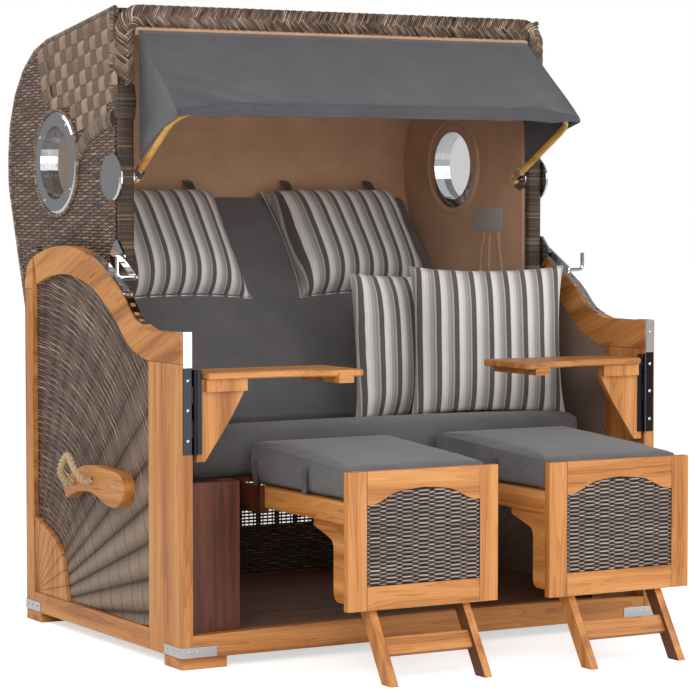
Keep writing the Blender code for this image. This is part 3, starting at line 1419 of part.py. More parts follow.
def stool(side, front, centre, parent):
    """Make the stool behind the panel: rails, deck, corbels and the legs' axle."""
    name = "footrest_stool_" + side
    half = FOOTREST_WIDTH * 0.5
    start = front + FOOTREST_THICKNESS + GAP
    deck = box(name, (centre - half, start, STOOL_TOP - STOOL_DECK_THICKNESS),
               (centre + half, STOOL_REAR, STOOL_TOP))
    item = add(name, deck, WOOD, parent)
    axle_y = front + LEG_PIVOT_BACK
    for sign in SIGNS.values():
        xs = sorted((centre + sign * half, centre + sign * (half - STOOL_RAIL)))
        join(item, box("rail", (xs[0], start, STOOL_RAIL_BOTTOM), (xs[1], STOOL_REAR, STOOL_TOP)))
        near = half - STOOL_RAIL
        inner = sorted((centre + sign * near, centre + sign * (near + CORBEL_THICKNESS)))
        corners = [
            (start, STOOL_RAIL_BOTTOM + OVERRUN, 0.0),
            (start + CORBEL_LENGTH, STOOL_RAIL_BOTTOM + OVERRUN, 0.0),
            (start + CORBEL_LENGTH, STOOL_RAIL_BOTTOM - CORBEL_NOSE, 0.0),
            (start + CORBEL_POST, STOOL_RAIL_BOTTOM - CORBEL_HEIGHT, CORBEL_HOLLOW_RADIUS),
            (start + CORBEL_POST, STOOL_RAIL_BOTTOM - CORBEL_DROP, CORBEL_TOE_RADIUS),
            (start, STOOL_RAIL_BOTTOM - CORBEL_DROP, 0.0),
        ]
        join(item, prism("corbel", "X", fillet(corners, 4), inner[0], inner[1]))
    join(item, box("cross rail", (centre - half + STOOL_RAIL * 0.5, STOOL_REAR - STOOL_RAIL,
                                  STOOL_RAIL_BOTTOM),
                   (centre + half - STOOL_RAIL * 0.5, STOOL_REAR, STOOL_TOP - GAP)))
    reach = half - STOOL_RAIL + STOOL_RAIL * 0.25
    axle = rod("axle", "X", AXLE_RADIUS, centre - reach, centre + reach, 16)
    axle.transform(Matrix.Translation((0.0, axle_y, LEG_PIVOT_Z)))
    join(item, axle)
    return item


def legs(side, front, centre, parent):
    """Make the pair of folding legs with the slat between them."""
    name = "footrest_legs_" + side
    half = FOOTREST_WIDTH * 0.5
    pivot = Vector((front + LEG_PIVOT_BACK, LEG_PIVOT_Z))
    run = Vector((-math.sin(LEG_LEAN), -math.cos(LEG_LEAN)))
    cross = Vector((run.y, -run.x)) * LEG_WIDTH * 0.5
    outline = []
    steps = 6
    for step in range(steps + 1):
        angle = math.pi * step / steps
        outline.append(tuple(pivot + cross * math.cos(angle) - run * LEG_WIDTH * 0.5 * math.sin(angle)))
    floor = ((0.0, 0.0), (1.0, 0.0))
    outline.append(crossing(pivot - cross, pivot - cross + run, *floor))
    outline.append(crossing(pivot + cross, pivot + cross + run, *floor))
    starts = []
    for sign in SIGNS.values():
        near = centre + sign * (half - LEG_INSET)
        starts.append(sorted((near, near - sign * LEG_THICKNESS)))
    item = add(name, prism(name, "X", outline, *starts[0]), WOOD, parent)
    join(item, prism("leg", "X", outline, *starts[1]))
    reach = pivot.y / math.cos(LEG_LEAN)
    spot = pivot + run * reach * LEG_SLAT_SHARE
    slat = box("slat", (starts[0][0] + LEG_THICKNESS * 0.5, -LEG_SLAT_THICKNESS * 0.5,
                        -LEG_SLAT_HEIGHT * 0.5),
               (starts[1][0] + LEG_THICKNESS * 0.5, LEG_SLAT_THICKNESS * 0.5, LEG_SLAT_HEIGHT * 0.5))
    slat.transform(Matrix.Rotation(-LEG_LEAN, 4, "X"))
    slat.transform(Matrix.Translation((0.0, *spot)))
    join(item, slat)
    bore = rod("bore", "X", AXLE_BORE_RADIUS, starts[0][0] - OVERRUN, starts[1][1] + OVERRUN, 16)
    bore.transform(Matrix.Translation((0.0, *pivot)))
    cut(item, bore)
    return item


def footrest_cushion(side, front, centre, root):
    """Make the cushion on the stool, which reaches back to the seat."""
    start = front + FOOTREST_THICKNESS + GAP * 2.0
    low = STOOL_TOP + GAP
    corners = [
        (start, low, 0.0), (start, FOOTREST_CUSHION_FRONT_TOP, 0.0),
        (FOOTREST_CUSHION_REAR, FOOTREST_CUSHION_REAR_TOP, 0.0), (FOOTREST_CUSHION_REAR, low, 0.0),
    ]
    crowns = [0.0, FOOTREST_CROWN, 0.0, 0.0]
    half = FOOTREST_WIDTH * 0.5
    return cushion("footrest_cushion_" + side, corners, crowns, centre, half, root)


def build():
    """Build the whole chair."""
    for item in list(bpy.data.objects):
        bpy.data.objects.remove(item, do_unlink=True)
    root = empty("chair", None, (0.0, 0.0, 0.0))
    feet(root)
    front_rail(root)
    seat_box(root)
    back_panel(root)
    seat_cushion(root)
    hood = empty("hood", root, (0.0, *HOOD_PIVOT))
    hood_shell(hood)
    hood_lining(hood)
    hood_rim(hood)
    backrest(hood)
    neck_pillow("left", NECK_PILLOW_PLACE_SHARES[0], hood)
    neck_pillow("right", NECK_PILLOW_PLACE_SHARES[1], hood)
    square_pillow("left", REAR_PILLOW_PLACE_SHARE, REAR_PILLOW_Y, 0.0, root)
    square_pillow("right", FRONT_PILLOW_PLACE_SHARE, FRONT_PILLOW_Y, FRONT_PILLOW_TURN, root)
    awning = empty("awning", hood, (0.0, *AWNING_PIVOT))
    awning_bow(awning)
    canopy(awning)
    for side, sign in SIGNS.items():
        side_frame(side, root)
        side_panel(side, root)
        spandrel(side, root)
        post_leaf(side, root)
        notch_strip(side, root)
        handle_block(side, root)
        rope_handle(side, root)
        porthole(side, hood)
        awning_pivot(side, hood)
        latch_plate(side, hood)
        lever = empty("latch " + side, hood, (sign * HOOD_HALF_WIDTH, *LATCH_PIVOT))
        latch_lever(side, lever)
        hinge_x = sign * (BASE_WIDTH * 0.5 - TRAY_PIVOT_INSET)
        tray = empty("tray " + side, root, (hinge_x, TRAY_PIVOT_Y, TRAY_TOP))
        tray_board(side, tray)
        tray_bracket(side, tray)
        tray_leaf(side, tray)
    rests = (
        ("left", FOOTREST_LEFT_FRONT, FOOTREST_LEFT_CENTRE),
        ("right", FOOTREST_RIGHT_FRONT, FOOTREST_RIGHT_CENTRE),
    )
    for side, front, centre in rests:
        slide = empty("footrest " + side, root, (centre, front, FOOTREST_BOTTOM))
        footrest_panel(side, front, centre, slide)
        stool(side, front, centre, slide)
        fold = empty("legs " + side, slide, (centre, front + LEG_PIVOT_BACK, LEG_PIVOT_Z))
        legs(side, front, centre, fold)
        footrest_cushion(side, front, centre, root)
    centre_on_floor(root)


def centre_on_floor(root):
    """Shift the chair so that its box is centred over the origin."""
    bpy.context.view_layer.update()
    graph = bpy.context.evaluated_depsgraph_get()
    ys = []
    for item in bpy.data.objects:
        if item.type == "MESH" and not item.hide_render:
            shaped = item.evaluated_get(graph)
            ys += [(shaped.matrix_world @ v.co).y for v in shaped.data.vertices]
    root.location.y = -(min(ys) + max(ys)) * 0.5


build()
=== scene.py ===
"""Looks of the hooded beach chair: finishes, weave, braid, cushions, awning and fittings."""

import logging
import math
import random
from dataclasses import dataclass
from enum import Enum
from itertools import accumulate
from typing import Callable, Iterable, Sequence

import bmesh
import bpy
from mathutils import Matrix, Vector
from mathutils.bvhtree import BVHTree


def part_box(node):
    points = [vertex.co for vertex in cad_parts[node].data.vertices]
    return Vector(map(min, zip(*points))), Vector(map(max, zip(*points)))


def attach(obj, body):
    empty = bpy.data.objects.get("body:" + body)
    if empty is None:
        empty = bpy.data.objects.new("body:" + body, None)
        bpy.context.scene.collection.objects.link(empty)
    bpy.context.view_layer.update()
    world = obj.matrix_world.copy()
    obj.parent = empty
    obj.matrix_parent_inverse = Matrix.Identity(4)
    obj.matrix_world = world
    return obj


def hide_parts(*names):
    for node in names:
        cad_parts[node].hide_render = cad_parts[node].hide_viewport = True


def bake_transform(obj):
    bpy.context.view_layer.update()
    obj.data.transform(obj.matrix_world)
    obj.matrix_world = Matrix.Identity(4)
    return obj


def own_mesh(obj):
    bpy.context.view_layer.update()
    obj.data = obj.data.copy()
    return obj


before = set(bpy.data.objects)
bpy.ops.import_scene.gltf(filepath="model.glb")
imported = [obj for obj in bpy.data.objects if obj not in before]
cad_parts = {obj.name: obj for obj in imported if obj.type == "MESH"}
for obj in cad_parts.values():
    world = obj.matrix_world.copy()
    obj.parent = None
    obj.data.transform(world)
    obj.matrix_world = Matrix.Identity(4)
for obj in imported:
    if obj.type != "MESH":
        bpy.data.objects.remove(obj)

LOG = logging.getLogger("beach_chair")
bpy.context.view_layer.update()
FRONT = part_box("front_rail")[0].y
Point = tuple[float, float, float]
Colour = tuple[float, float, float, float]
Stops = tuple[tuple[float, str], ...]
Tree = bpy.types.NodeTree
Socket = bpy.types.NodeSocket
Look = bpy.types.Material
Piece = bpy.types.Object
Shape = bmesh.types.BMesh
Corner = bmesh.types.BMVert
RIGHTWARD = Vector((1.0, 0.0, 0.0))
REARWARD = Vector((0.0, 1.0, 0.0))
UPWARD = Vector((0.0, 0.0, 1.0))
IN_COLOUR = {"out": "Result", "data_type": "RGBA"}
RELIEF = ("Strength", "Distance", "Height")


class Side(Enum):
    """The chair's two sides, with the sign of their X."""

    LEFT = -1.0
    RIGHT = 1.0

    @property
    def tag(self) -> str:
        """Return the word that ends the names of this side's pieces."""
        return self.name.lower()


class Grain(Enum):
    """The axis that a board's grain runs along."""

    ACROSS = 0
    DEEP = 1
    UPRIGHT = 2


def linear(hex_colour: str) -> Colour:
    """Turn an sRGB hex colour into linear light.

    Args:
        hex_colour: Six hex digits with a leading #.

    Returns:
        Red, green, blue and an alpha of one.
    """
    parts = [int(hex_colour[i:i + 2], 16) / 255.0 for i in (1, 3, 5)]
    light = [c / 12.92 if c <= 0.04045 else ((c + 0.055) / 1.055) ** 2.4 for c in parts]
    return (light[0], light[1], light[2], 1.0)


def node(tree: Tree, kind: str, *values: object, out: int | str = 0,
         named: dict[str, object] | None = None, **settings: object) -> Socket:
    """Add a shader node with its settings and links.

    Args:
        tree: The material's node tree.
        kind: The node's type without its ShaderNode prefix, then its operation if it has one.
        values: Numbers or sockets for the inputs in order; None leaves one as it is.
        out: The output to return.
        named: Numbers or sockets for inputs by name.
        settings: Properties of the node.

    Returns:
        The chosen output socket.
    """
    kind, _, operation = kind.partition(" ")
    made = tree.nodes.new("ShaderNode" + kind)
    if operation:
        made.operation = operation
    for key, value in settings.items():
        setattr(made, key, value)
    pairs = list(enumerate(values)) + list((named or {}).items())
    for key, value in pairs:
        if value is None:
            continue
        socket = made.inputs[key]
        if isinstance(value, Socket):
            tree.links.new(value, socket)
        else:
            socket.default_value = value
    return made.outputs[out]


def ramp(tree: Tree, value: Socket,
         stops: Sequence[tuple[float, str]]) -> Socket:
    """Map a value to colours.

    Args:
        tree: The material's node tree.
        value: The value to map, from 0 to 1.
        stops: Places and sRGB hex colours, in rising order.

    Returns:
        The colour socket.
    """
    colour = node(tree, "ValToRGB", value)
    elements = colour.node.color_ramp.elements
    while len(elements) < len(stops):
        elements.new(0.5)
    for element, (place, shade) in zip(elements, stops):
        element.position = place
        element.color = linear(shade)
    return colour


def start_material(name: str) -> tuple[Look, Tree]:
    """Make an empty node material.

    Args:
        name: The material's name.

    Returns:
        The material and its tree.
    """
    made = bpy.data.materials.new(name)
    made.use_nodes = True
    made.node_tree.nodes.clear()
    return made, made.node_tree


def close_material(tree: Tree, colour: Socket | Colour, rough: Socket | float,
                   relief: tuple[float, float, Socket] | None = None,
                   more: dict[str, object] | None = None) -> None:
    """Add the relief, the surface shader and the output.

    Args:
        tree: The material's node tree.
        colour: The surface's colour.
        rough: Its roughness.
        relief: The relief's strength, its depth in metres and its height.
        more: Further values of the surface shader by name.
    """
    named = {"Base Color": colour, "Roughness": rough, **(more or {})}
    if relief:
        named["Normal"] = node(tree, "Bump", named=dict(zip(RELIEF, relief)))
    shader = node(tree, "BsdfPrincipled", named=named)
    end = tree.nodes.new("ShaderNodeOutputMaterial")
    tree.links.new(shader, end.inputs[0])


def axes(tree: Tree, source: str = "Object") -> tuple[Socket, Socket, Socket]:
    """Return the three parts of a texture coordinate."""
    x = node(tree, "SeparateXYZ", node(tree, "TexCoord", out=source))
    return x, x.node.outputs["Y"], x.node.outputs["Z"]


def ribs(tree: Tree, value: Socket, scale: float) -> Socket:
    """Return a round rib on each half turn of a scaled value."""
    turned = node(tree, "Math MULTIPLY", value, scale)
    return node(tree, "Math ABSOLUTE", node(tree, "Math SINE", turned))


def strand_ridge(tree: Tree, lines: Socket) -> Socket:
    """Return a round ridge on each unit of a value."""
    part = node(tree, "Math MULTIPLY", node(tree, "Math FRACT", lines), math.pi)
    return node(tree, "Math SINE", part)


def fan(tree: Tree, corner: tuple[float, float]) -> tuple[Socket, Socket, Socket]:
    """Measure a side's points from the corner that its fan spreads from.

    Args:
        tree: The material's node tree.
        corner: The corner's depth and rise.

    Returns:
        The way forward, the way up and the angle between them.
    """
    _, y, z = axes(tree)
    ahead = node(tree, "Math SUBTRACT", FRONT + corner[0], y)
    rise = node(tree, "Math SUBTRACT", z, corner[1])
    return ahead, rise, node(tree, "Math ARCTAN2", rise, ahead)


@dataclass(frozen=True)
class Finish:
    """A finish under its material's name; each kind draws its own nodes."""

    name: str

    def build(self) -> Look:
        """Build the material.

        Returns:
            The material.
        """
        made, tree = start_material(self.name)
        self.draw(tree)
        return made

    def draw(self, tree: Tree) -> None:
        """Draw the finish's nodes into a material's tree."""
        raise NotImplementedError


@dataclass(frozen=True)
class OiledTeak(Finish):
    """Oiled teak, planed: warm growth rings, fine pores, a few small knots and a satin film."""

    grain: Grain
    light: str = "#d99856"
    middle: str = "#c5803f"
    dark: str = "#9c5d25"
    roughness: float = 0.42
    board_mm: float = 30.0
    knot: str = "#5d3316"

    def draw(self, tree: Tree) -> None:
        """Draw grain along one axis of the board."""
        self.close(tree, *self.grain_nodes(tree, node(tree, "TexCoord", out="Object"), self.grain))

    def grain_nodes(self, tree: Tree, spot: Socket, grain: Grain) -> tuple[Socket, Socket]:
        """Draw grain along one axis.

        Args:
            tree: The material's node tree.
            spot: The coordinates.
            grain: The axis that the grain follows.

        Returns:
            The colour and the height.
        """
        coarse, fine, apart = [1000.0 / self.board_mm] * 3, [700.0] * 3, [5.0] * 3
        coarse[grain.value], fine[grain.value], apart[grain.value] = 1.1, 9.0, 2.2
        bent = node(tree, "TexNoise", spot, out="Color", named={"Scale": 2.4, "Detail": 1.0})
        bent = node(tree, "VectorMath SUBTRACT", bent, (0.5, 0.5, 0.5))
        bent = node(tree, "VectorMath MULTIPLY", bent, (0.03, 0.03, 0.03))
        moved = node(tree, "VectorMath ADD", spot, bent)
        long = node(tree, "VectorMath MULTIPLY", moved, tuple(coarse))
        band = node(tree, "TexNoise", long,
                    named={"Scale": 1.0, "Detail": 1.5, "Roughness": 0.45})
        ring = node(tree, "Math FRACT", node(tree, "Math MULTIPLY", band, 13.0))
        late = node(tree, "Math POWER", ring, 2.2)
        short = node(tree, "VectorMath MULTIPLY", moved, tuple(fine))
        pores = node(tree, "TexNoise", short,
                     named={"Scale": 1.0, "Detail": 2.0, "Roughness": 0.6})
        tone = node(tree, "Math MULTIPLY", band, 0.62)
        tone = node(tree, "Math MULTIPLY_ADD", pores, 0.26, tone)
        tone = node(tree, "Math MULTIPLY_ADD", late, -0.11, tone)
        colour = ramp(tree, tone, ((0.26, self.dark), (0.40, self.middle), (0.56, self.light)))
        cells = node(tree, "TexVoronoi", node(tree, "VectorMath MULTIPLY", spot, tuple(apart)),
                     named={"Scale": 1.0})
        knots = node(tree, "MapRange", cells, 0.020, 0.042, 0.75, 0.0)
        return node(tree, "Mix", knots, named={"A": colour, "B": linear(self.knot)},
                    **IN_COLOUR), tone

    def close(self, tree: Tree, colour: Socket, height: Socket) -> None:
        """Finish the board's surface with its satin film.

        Args:
            tree: The material's node tree.
            colour: The grain's colour.
            height: The grain's relief.
        """
        rough = node(tree, "Math MULTIPLY_ADD", height, 0.25, self.roughness - 0.10)
        close_material(tree, colour, rough, (0.25, 0.0006, height),
                       {"Coat Weight": 0.10, "Coat Roughness": 0.3})


@dataclass(frozen=True)
class PanelTeak(OiledTeak):
    """Teak of a footrest's front frame: upright stiles, level rails and tight joints between."""

    centre: float = 0.0
    stile: float = 0.050
    half: float = 0.2025
    joint: str = "#6b3f1e"

    def draw(self, tree: Tree) -> None:
        """Draw upright grain beyond the stiles' joints and level grain between them.

        Args:
            tree: The material's node tree.
        """
        spot = node(tree, "TexCoord", out="Object")
        away = node(tree, "Math SUBTRACT", node(tree, "SeparateXYZ", spot), self.centre)
        away = node(tree, "Math ABSOLUTE", away)
        edge = self.half - self.stile
        upright, upright_height = self.grain_nodes(tree, spot, Grain.UPRIGHT)
        level, level_height = self.grain_nodes(tree, spot, Grain.ACROSS)
        stile = node(tree, "Math GREATER_THAN", away, edge)
        colour = node(tree, "Mix", stile, named={"A": level, "B": upright}, **IN_COLOUR)
        seam = node(tree, "Math COMPARE", away, edge, 0.0008)
        colour = node(tree, "Mix", seam, named={"A": colour, "B": linear(self.joint)}, **IN_COLOUR)
        height = node(tree, "Mix", stile, named={"A": level_height, "B": upright_height})
        self.close(tree, colour, height)


@dataclass(frozen=True)
class FloorTeak(OiledTeak):
    """Teak boards of the seat box, darkened with painted shade, over a lighter floor of level
    boards.
    """

    floor_top: float = 0.0765

    def draw(self, tree: Tree) -> None:
        """Draw the boards' grain over the floor's.

        Args:
            tree: The material's node tree.
        """
        spot = node(tree, "TexCoord", out="Object")
        boards, height = self.grain_nodes(tree, spot, self.grain)
        light = OiledTeak("", Grain.ACROSS, "#9a6a41", "#835531", "#5f3a1f")
        floor, _ = light.grain_nodes(tree, spot, Grain.ACROSS)
        low = node(tree, "Math LESS_THAN", axes(tree)[2], self.floor_top)
        colour = node(tree, "Mix", low, named={"A": boards, "B": floor}, **IN_COLOUR)
        self.close(tree, colour, height)


@dataclass(frozen=True)
class CarvedTeak(OiledTeak):
    """Teak with a carved fan: grooves that spread from the board's lower rear corner."""

    corner: tuple[float, float] = (0.874, 0.077)
    ray_degrees: float = 11.25
    # Painted shade: the dark colour laid in the grooves.
    groove: str = "#5f3a1c"

    def draw(self, tree: Tree) -> None:
        """Draw the grain and cut the fan's grooves into it.

        Args:
            tree: The material's node tree.
        """
        _, _, angle = fan(tree, self.corner)
        lobe = ribs(tree, angle, math.pi / math.radians(self.ray_degrees))
        spot = node(tree, "TexCoord", out="Object")
        colour, height = self.grain_nodes(tree, spot, self.grain)
        # Painted shade: the grain darkens towards the groove colour in each groove.
        cut = node(tree, "MapRange", lobe, 0.03, 0.24, 0.75, 0.0)
        colour = node(tree, "Mix", cut, named={"A": colour, "B": linear(self.groove)}, **IN_COLOUR)
        relief = node(tree, "Math MULTIPLY_ADD", lobe, 3.0, height)
        close_material(tree, colour, self.roughness, (0.8, 0.0012, relief))


@dataclass(frozen=True)
class FramedTeak(OiledTeak):
    """Teak of a side frame: upright posts, a level rail and a slanting grain in the cap rail."""

    post_rear: float = 0.176
    stile_front: float = 0.874
    post_top: float = 0.7205
    stile_top: float = 0.872
    rail_top: float = 0.078
    seam_top: float = 0.079
    seam_half: float = 0.0007
    joint: str = "#5a3417"

    def draw(self, tree: Tree) -> None:
        """Draw each member's own grain and the dark joints between them.

        Args:
            tree: The material's node tree.
        """
        spot = node(tree, "TexCoord", out="Object")
        _, y, rise = axes(tree)
        depth = node(tree, "Math SUBTRACT", y, FRONT)
        upright, upright_height = self.grain_nodes(tree, spot, Grain.UPRIGHT)
        tilted = node(tree, "Mapping", spot, named={"Rotation": (math.radians(20.0), 0.0, 0.0)})
        level, level_height = self.grain_nodes(tree, tilted, Grain.DEEP)
        flat, _ = self.grain_nodes(tree, spot, Grain.DEEP)
        in_post = node(tree, "Math LESS_THAN", depth, self.post_rear)
        in_rear = node(tree, "Math GREATER_THAN", depth, self.stile_front)
        posts = []
        for inside, top in ((in_post, self.post_top), (in_rear, self.stile_top)):
            under = node(tree, "Math LESS_THAN", rise, top)
            posts.append(node(tree, "Math MULTIPLY", inside, under))
        post = node(tree, "Math MAXIMUM", *posts)
        low = node(tree, "Math LESS_THAN", rise, self.rail_top)
        colour = node(tree, "Mix", low, named={"A": level, "B": flat}, **IN_COLOUR)
        colour = node(tree, "Mix", post, named={"A": colour, "B": upright}, **IN_COLOUR)
        height = node(tree, "Mix", post, named={"A": level_height, "B": upright_height})
        below = node(tree, "Math LESS_THAN", rise, self.seam_top)
        seam = None
        for value, place, where in (
            (depth, self.post_rear, below),
            (depth, self.stile_front, below),
            (rise, self.post_top, in_post),
            (rise, self.stile_top, in_rear),
        ):
            gap = node(tree, "Math COMPARE", value, place, self.seam_half)
            gap = node(tree, "Math MULTIPLY", gap, where)
            seam = gap if seam is None else node(tree, "Math MAXIMUM", seam, gap)
        colour = node(tree, "Mix", seam, named={"A": colour, "B": linear(self.joint)}, **IN_COLOUR)
        self.close(tree, colour, height)


@dataclass(frozen=True)
class Weave(Finish):
    """Resin strands woven over stakes: mottled browns, with painted shade in the gaps between the
    rows.
    """

    row_mm: float = 7.6
    stake_mm: float = 26.0
    dark: str = "#4a3124"
    middle: str = "#876552"
    light: str = "#c9a88d"
    relief: float = 0.0022
    wave_mm: float = 2.2
    # Painted shade: the near-black laid in the gaps between rows and where a strand passes under a
    # stake.
    gap: str = "#120b08"

    def strands(self, tree: Tree, along: Socket, rise: Socket) -> tuple[Socket, Socket]:
        """Draw the weave from two coordinates in metres.

        Args:
            tree: The material's node tree.
            along: The coordinate along the rows.
            rise: The coordinate across the rows.

        Returns:
            The colour and the height.
        """
        turn = node(tree, "Math MULTIPLY", along, 2000.0 * math.pi / self.stake_mm)
        wave = node(tree, "Math SINE", turn)
        lift = node(tree, "Math MULTIPLY_ADD", wave, self.wave_mm * 0.0005, rise)
        rows = node(tree, "Math MULTIPLY", lift, 1000.0 / self.row_mm)
        row = node(tree, "Math FLOOR", rows)
        part = node(tree, "Math FRACT", rows)
        centred = node(tree, "Math MULTIPLY_ADD", part, 2.0, -1.0)
        square = node(tree, "Math MULTIPLY", centred, centred)
        round_top = node(tree, "Math SUBTRACT", 1.0, square)
        flip = node(tree, "Math MULTIPLY", row, math.pi)
        over = node(tree, "Math COSINE", node(tree, "Math MULTIPLY_ADD", turn, 0.5, flip))
        over = node(tree, "Math MULTIPLY_ADD", over, 0.5, 0.5)
        body = node(tree, "Math MULTIPLY_ADD", over, 0.55, 0.45)
        height = node(tree, "Math MULTIPLY", round_top, body)
        place = node(tree, "CombineXYZ", node(tree, "Math MULTIPLY", along, 14.0),
                     node(tree, "Math MULTIPLY", row, 3.73), 0.0)
        mottle = node(tree, "TexNoise", place,
                      named={"Scale": 1.0, "Detail": 3.0, "Roughness": 0.7})
        hair = node(tree, "CombineXYZ", node(tree, "Math MULTIPLY", along, 60.0),
                    node(tree, "Math MULTIPLY", rise, 2600.0), 0.0)
        hair = node(tree, "TexNoise", hair, named={"Scale": 1.0, "Detail": 2.0})
        tone = node(tree, "Math MULTIPLY", hair, 0.3)
        tone = node(tree, "Math MULTIPLY_ADD", mottle, 0.7, tone)
        base = ramp(tree, tone, ((0.36, self.dark), (0.5, self.middle), (0.66, self.light)))
        # Painted shade: the strands' colour falls to the gap's near-black in the valleys of their
        # relief.
        shade = node(tree, "MapRange", height, 0.22, 0.80, 0.0, 1.0)
        return node(tree, "Mix", shade, named={"A": linear(self.gap), "B": base},
                    **IN_COLOUR), height

    def close(self, tree: Tree, colour: Socket, height: Socket) -> None:
        """Finish the strands' surface."""
        close_material(tree, colour, 0.5, (1.0, self.relief, height))

    def draw(self, tree: Tree) -> None:
        """Draw the weave on a piece's own map, in metres."""
        self.close(tree, *self.strands(tree, *axes(tree, "UV")[:2]))


@dataclass(frozen=True)
class PlainWeave(Weave):
    """The same weave on level rows, read across X and Z."""

    def draw(self, tree: Tree) -> None:
        """Draw the weave on level rows."""
        x, _, z = axes(tree)
        self.close(tree, *self.strands(tree, x, z))


@dataclass(frozen=True)
class FanWeave(Weave):
    """The side panels' weave: rows in arcs across rays that fan out from the lower rear corner."""

    centre: tuple[float, float] = (0.915, 0.03)
    ray_degrees: float = 6.4
    inner_face: float = 0.6525
    arc_mm: float = 62.0

    def draw(self, tree: Tree) -> None:
        """Draw rows in arcs, satin ribs with painted shade low at the front, painted shade between
        the rays.

        Args:
            tree: The material's node tree.
        """
        ahead, rise, angle = fan(tree, self.centre)
        radius = node(tree, "Math ADD", node(tree, "Math MULTIPLY", ahead, ahead),
                      node(tree, "Math MULTIPLY", rise, rise))
        radius = node(tree, "Math SQRT", radius)
        ray = math.radians(self.ray_degrees)
        along = node(tree, "Math MULTIPLY", angle, self.stake_mm * 0.001 / ray)
        colour, height = self.strands(tree, along, radius)
        rib = ribs(tree, angle, math.pi / ray)
        # Painted shade and highlight: the satin strands' tone follows each rib, near-black in its
        # valleys and pale on its crest, with dark arc lines of painted shade where the rows cross.
        cross = node(tree, "Math MULTIPLY", radius, 2000.0 * math.pi / self.arc_mm)
        cross = node(tree, "Math GREATER_THAN", node(tree, "Math SINE", cross), 0.96)
        satin = ramp(tree, rib, ((0.0, "#3a2c24"), (0.30, "#74604f"), (1.0, "#a48f7c")))
        satin = node(tree, "Mix", node(tree, "Math MULTIPLY", cross, 0.45),
                     named={"A": satin, "B": linear("#1a110c")}, **IN_COLOUR)
        low = node(tree, "MapRange", angle, 0.42, 0.80, 1.0, 0.0)
        mixed = node(tree, "Mix", node(tree, "Math MULTIPLY", low, 0.78),
                     named={"A": colour, "B": satin}, **IN_COLOUR)
        # Painted shade: near-black darkening between the rays.
        between = node(tree, "MapRange", rib, 0.0, 0.28, 0.45, 0.0)
        mixed = node(tree, "Mix", between, named={"A": mixed, "B": linear("#160e0a")},
                     **IN_COLOUR)
        ribbed = node(tree, "Math MULTIPLY_ADD", rib, 0.6, height)
        inside = node(tree, "Math LESS_THAN", node(tree, "Math ABSOLUTE", axes(tree)[0]),
                      self.inner_face)
        face = node(tree, "Mix", inside, named={"A": mixed, "B": linear("#8f7868")}, **IN_COLOUR)
        self.close(tree, face, ribbed)


@dataclass(frozen=True)
class PaintedSlotWeave(PlainWeave):
    """The low back panel's weave, with painted shade: two bands of glowing painted slots for the
    daylight between the strands.
    """

    bands: tuple[float, ...] = (0.318, 0.232)
    band_half: float = 0.024

    def draw(self, tree: Tree) -> None:
        """Draw the weave dimmed with painted shade, with painted glowing slots in its open bands.

        Args:
            tree: The material's node tree.
        """
        x, _, rise = axes(tree)
        colour, height = self.strands(tree, x, rise)
        slots = None
        for value, pitch_mm, half in ((rise, 9.0, 0.21), (x, 58.0, 0.36), (x, 14.5, 0.36)):
            part = node(tree, "Math FRACT", node(tree, "Math MULTIPLY", value, 1000.0 / pitch_mm))
            part = node(tree, "Math COMPARE", part, 0.5, half)
            slots = part if slots is None else node(tree, "Math MULTIPLY", slots, part)
        bands = [node(tree, "Math COMPARE", rise, level, self.band_half) for level in self.bands]
        slots = node(tree, "Math MULTIPLY", slots, node(tree, "Math MAXIMUM", *bands))
        # Painted shade: the whole weave is mixed 55 per cent towards near-black.
        dim = node(tree, "Mix", 0.55, named={"A": colour, "B": linear("#17110e")}, **IN_COLOUR)
        # Painted light: the slots are near-white and glow, standing for daylight through the
        # weave; nothing is cut.
        shaded = node(tree, "Mix", slots, named={"A": dim, "B": linear("#eef0f2")}, **IN_COLOUR)
        glow = node(tree, "Math MULTIPLY", slots, 0.75)
        close_material(tree, shaded, 0.5, (1.0, self.relief, height),
                       {"Emission Color": linear("#ffffff"), "Emission Strength": glow})


@dataclass(frozen=True)
class BlockWeave(Finish):
    """Broad flat strips that pass over and under bundles of round strands, one cell at a time."""

    strands: float = 7.0

    def draw(self, tree: Tree) -> None:
        """Draw strips on even cells and bundles on odd ones.

        Args:
            tree: The material's node tree.
        """
        x, y, _ = axes(tree, "UV")
        across, up = node(tree, "Math FLOOR", x), node(tree, "Math FLOOR", y)
        parity = node(tree, "Math MULTIPLY", node(tree, "Math ADD", across, up), 0.5)
        over = node(tree, "Math LESS_THAN", node(tree, "Math FRACT", parity), 0.25)
        lines = node(tree, "Math MULTIPLY", node(tree, "Math FRACT", x),
                     2.0 * math.pi * self.strands)
        bundle = node(tree, "Math MULTIPLY_ADD", node(tree, "Math SINE", lines), 0.5, 0.5)
        tone = node(tree, "TexWhiteNoise", node(tree, "CombineXYZ", across, up, 0.0), out="Value")
        hair = node(tree, "CombineXYZ", node(tree, "Math MULTIPLY", x, 26.0),
                    node(tree, "Math MULTIPLY", y, 1.5), 0.0)
        hair = node(tree, "TexNoise", hair, named={"Scale": 1.0, "Detail": 2.0})
        tone = node(tree, "Math ADD", node(tree, "Math MULTIPLY", tone, 0.45), hair)
        broad = ramp(tree, tone, ((0.25, "#5a4536"), (0.60, "#8a6f5b"), (0.95, "#ab9079")))
        # Painted shade and highlight: the bundles' round strands run from near-black between them
        # to pale on their tops.
        thin = ramp(tree, bundle, ((0.0, "#281b14"), (0.45, "#6d5544"), (1.0, "#a0866f")))
        mixed = node(tree, "Mix", over, named={"A": thin, "B": broad}, **IN_COLOUR)
        faint = node(tree, "Math MULTIPLY", hair, 0.5)
        height = node(tree, "Mix", over, named={"A": bundle, "B": faint})
        close_material(tree, mixed, 0.45, (1.0, 0.0014, height))


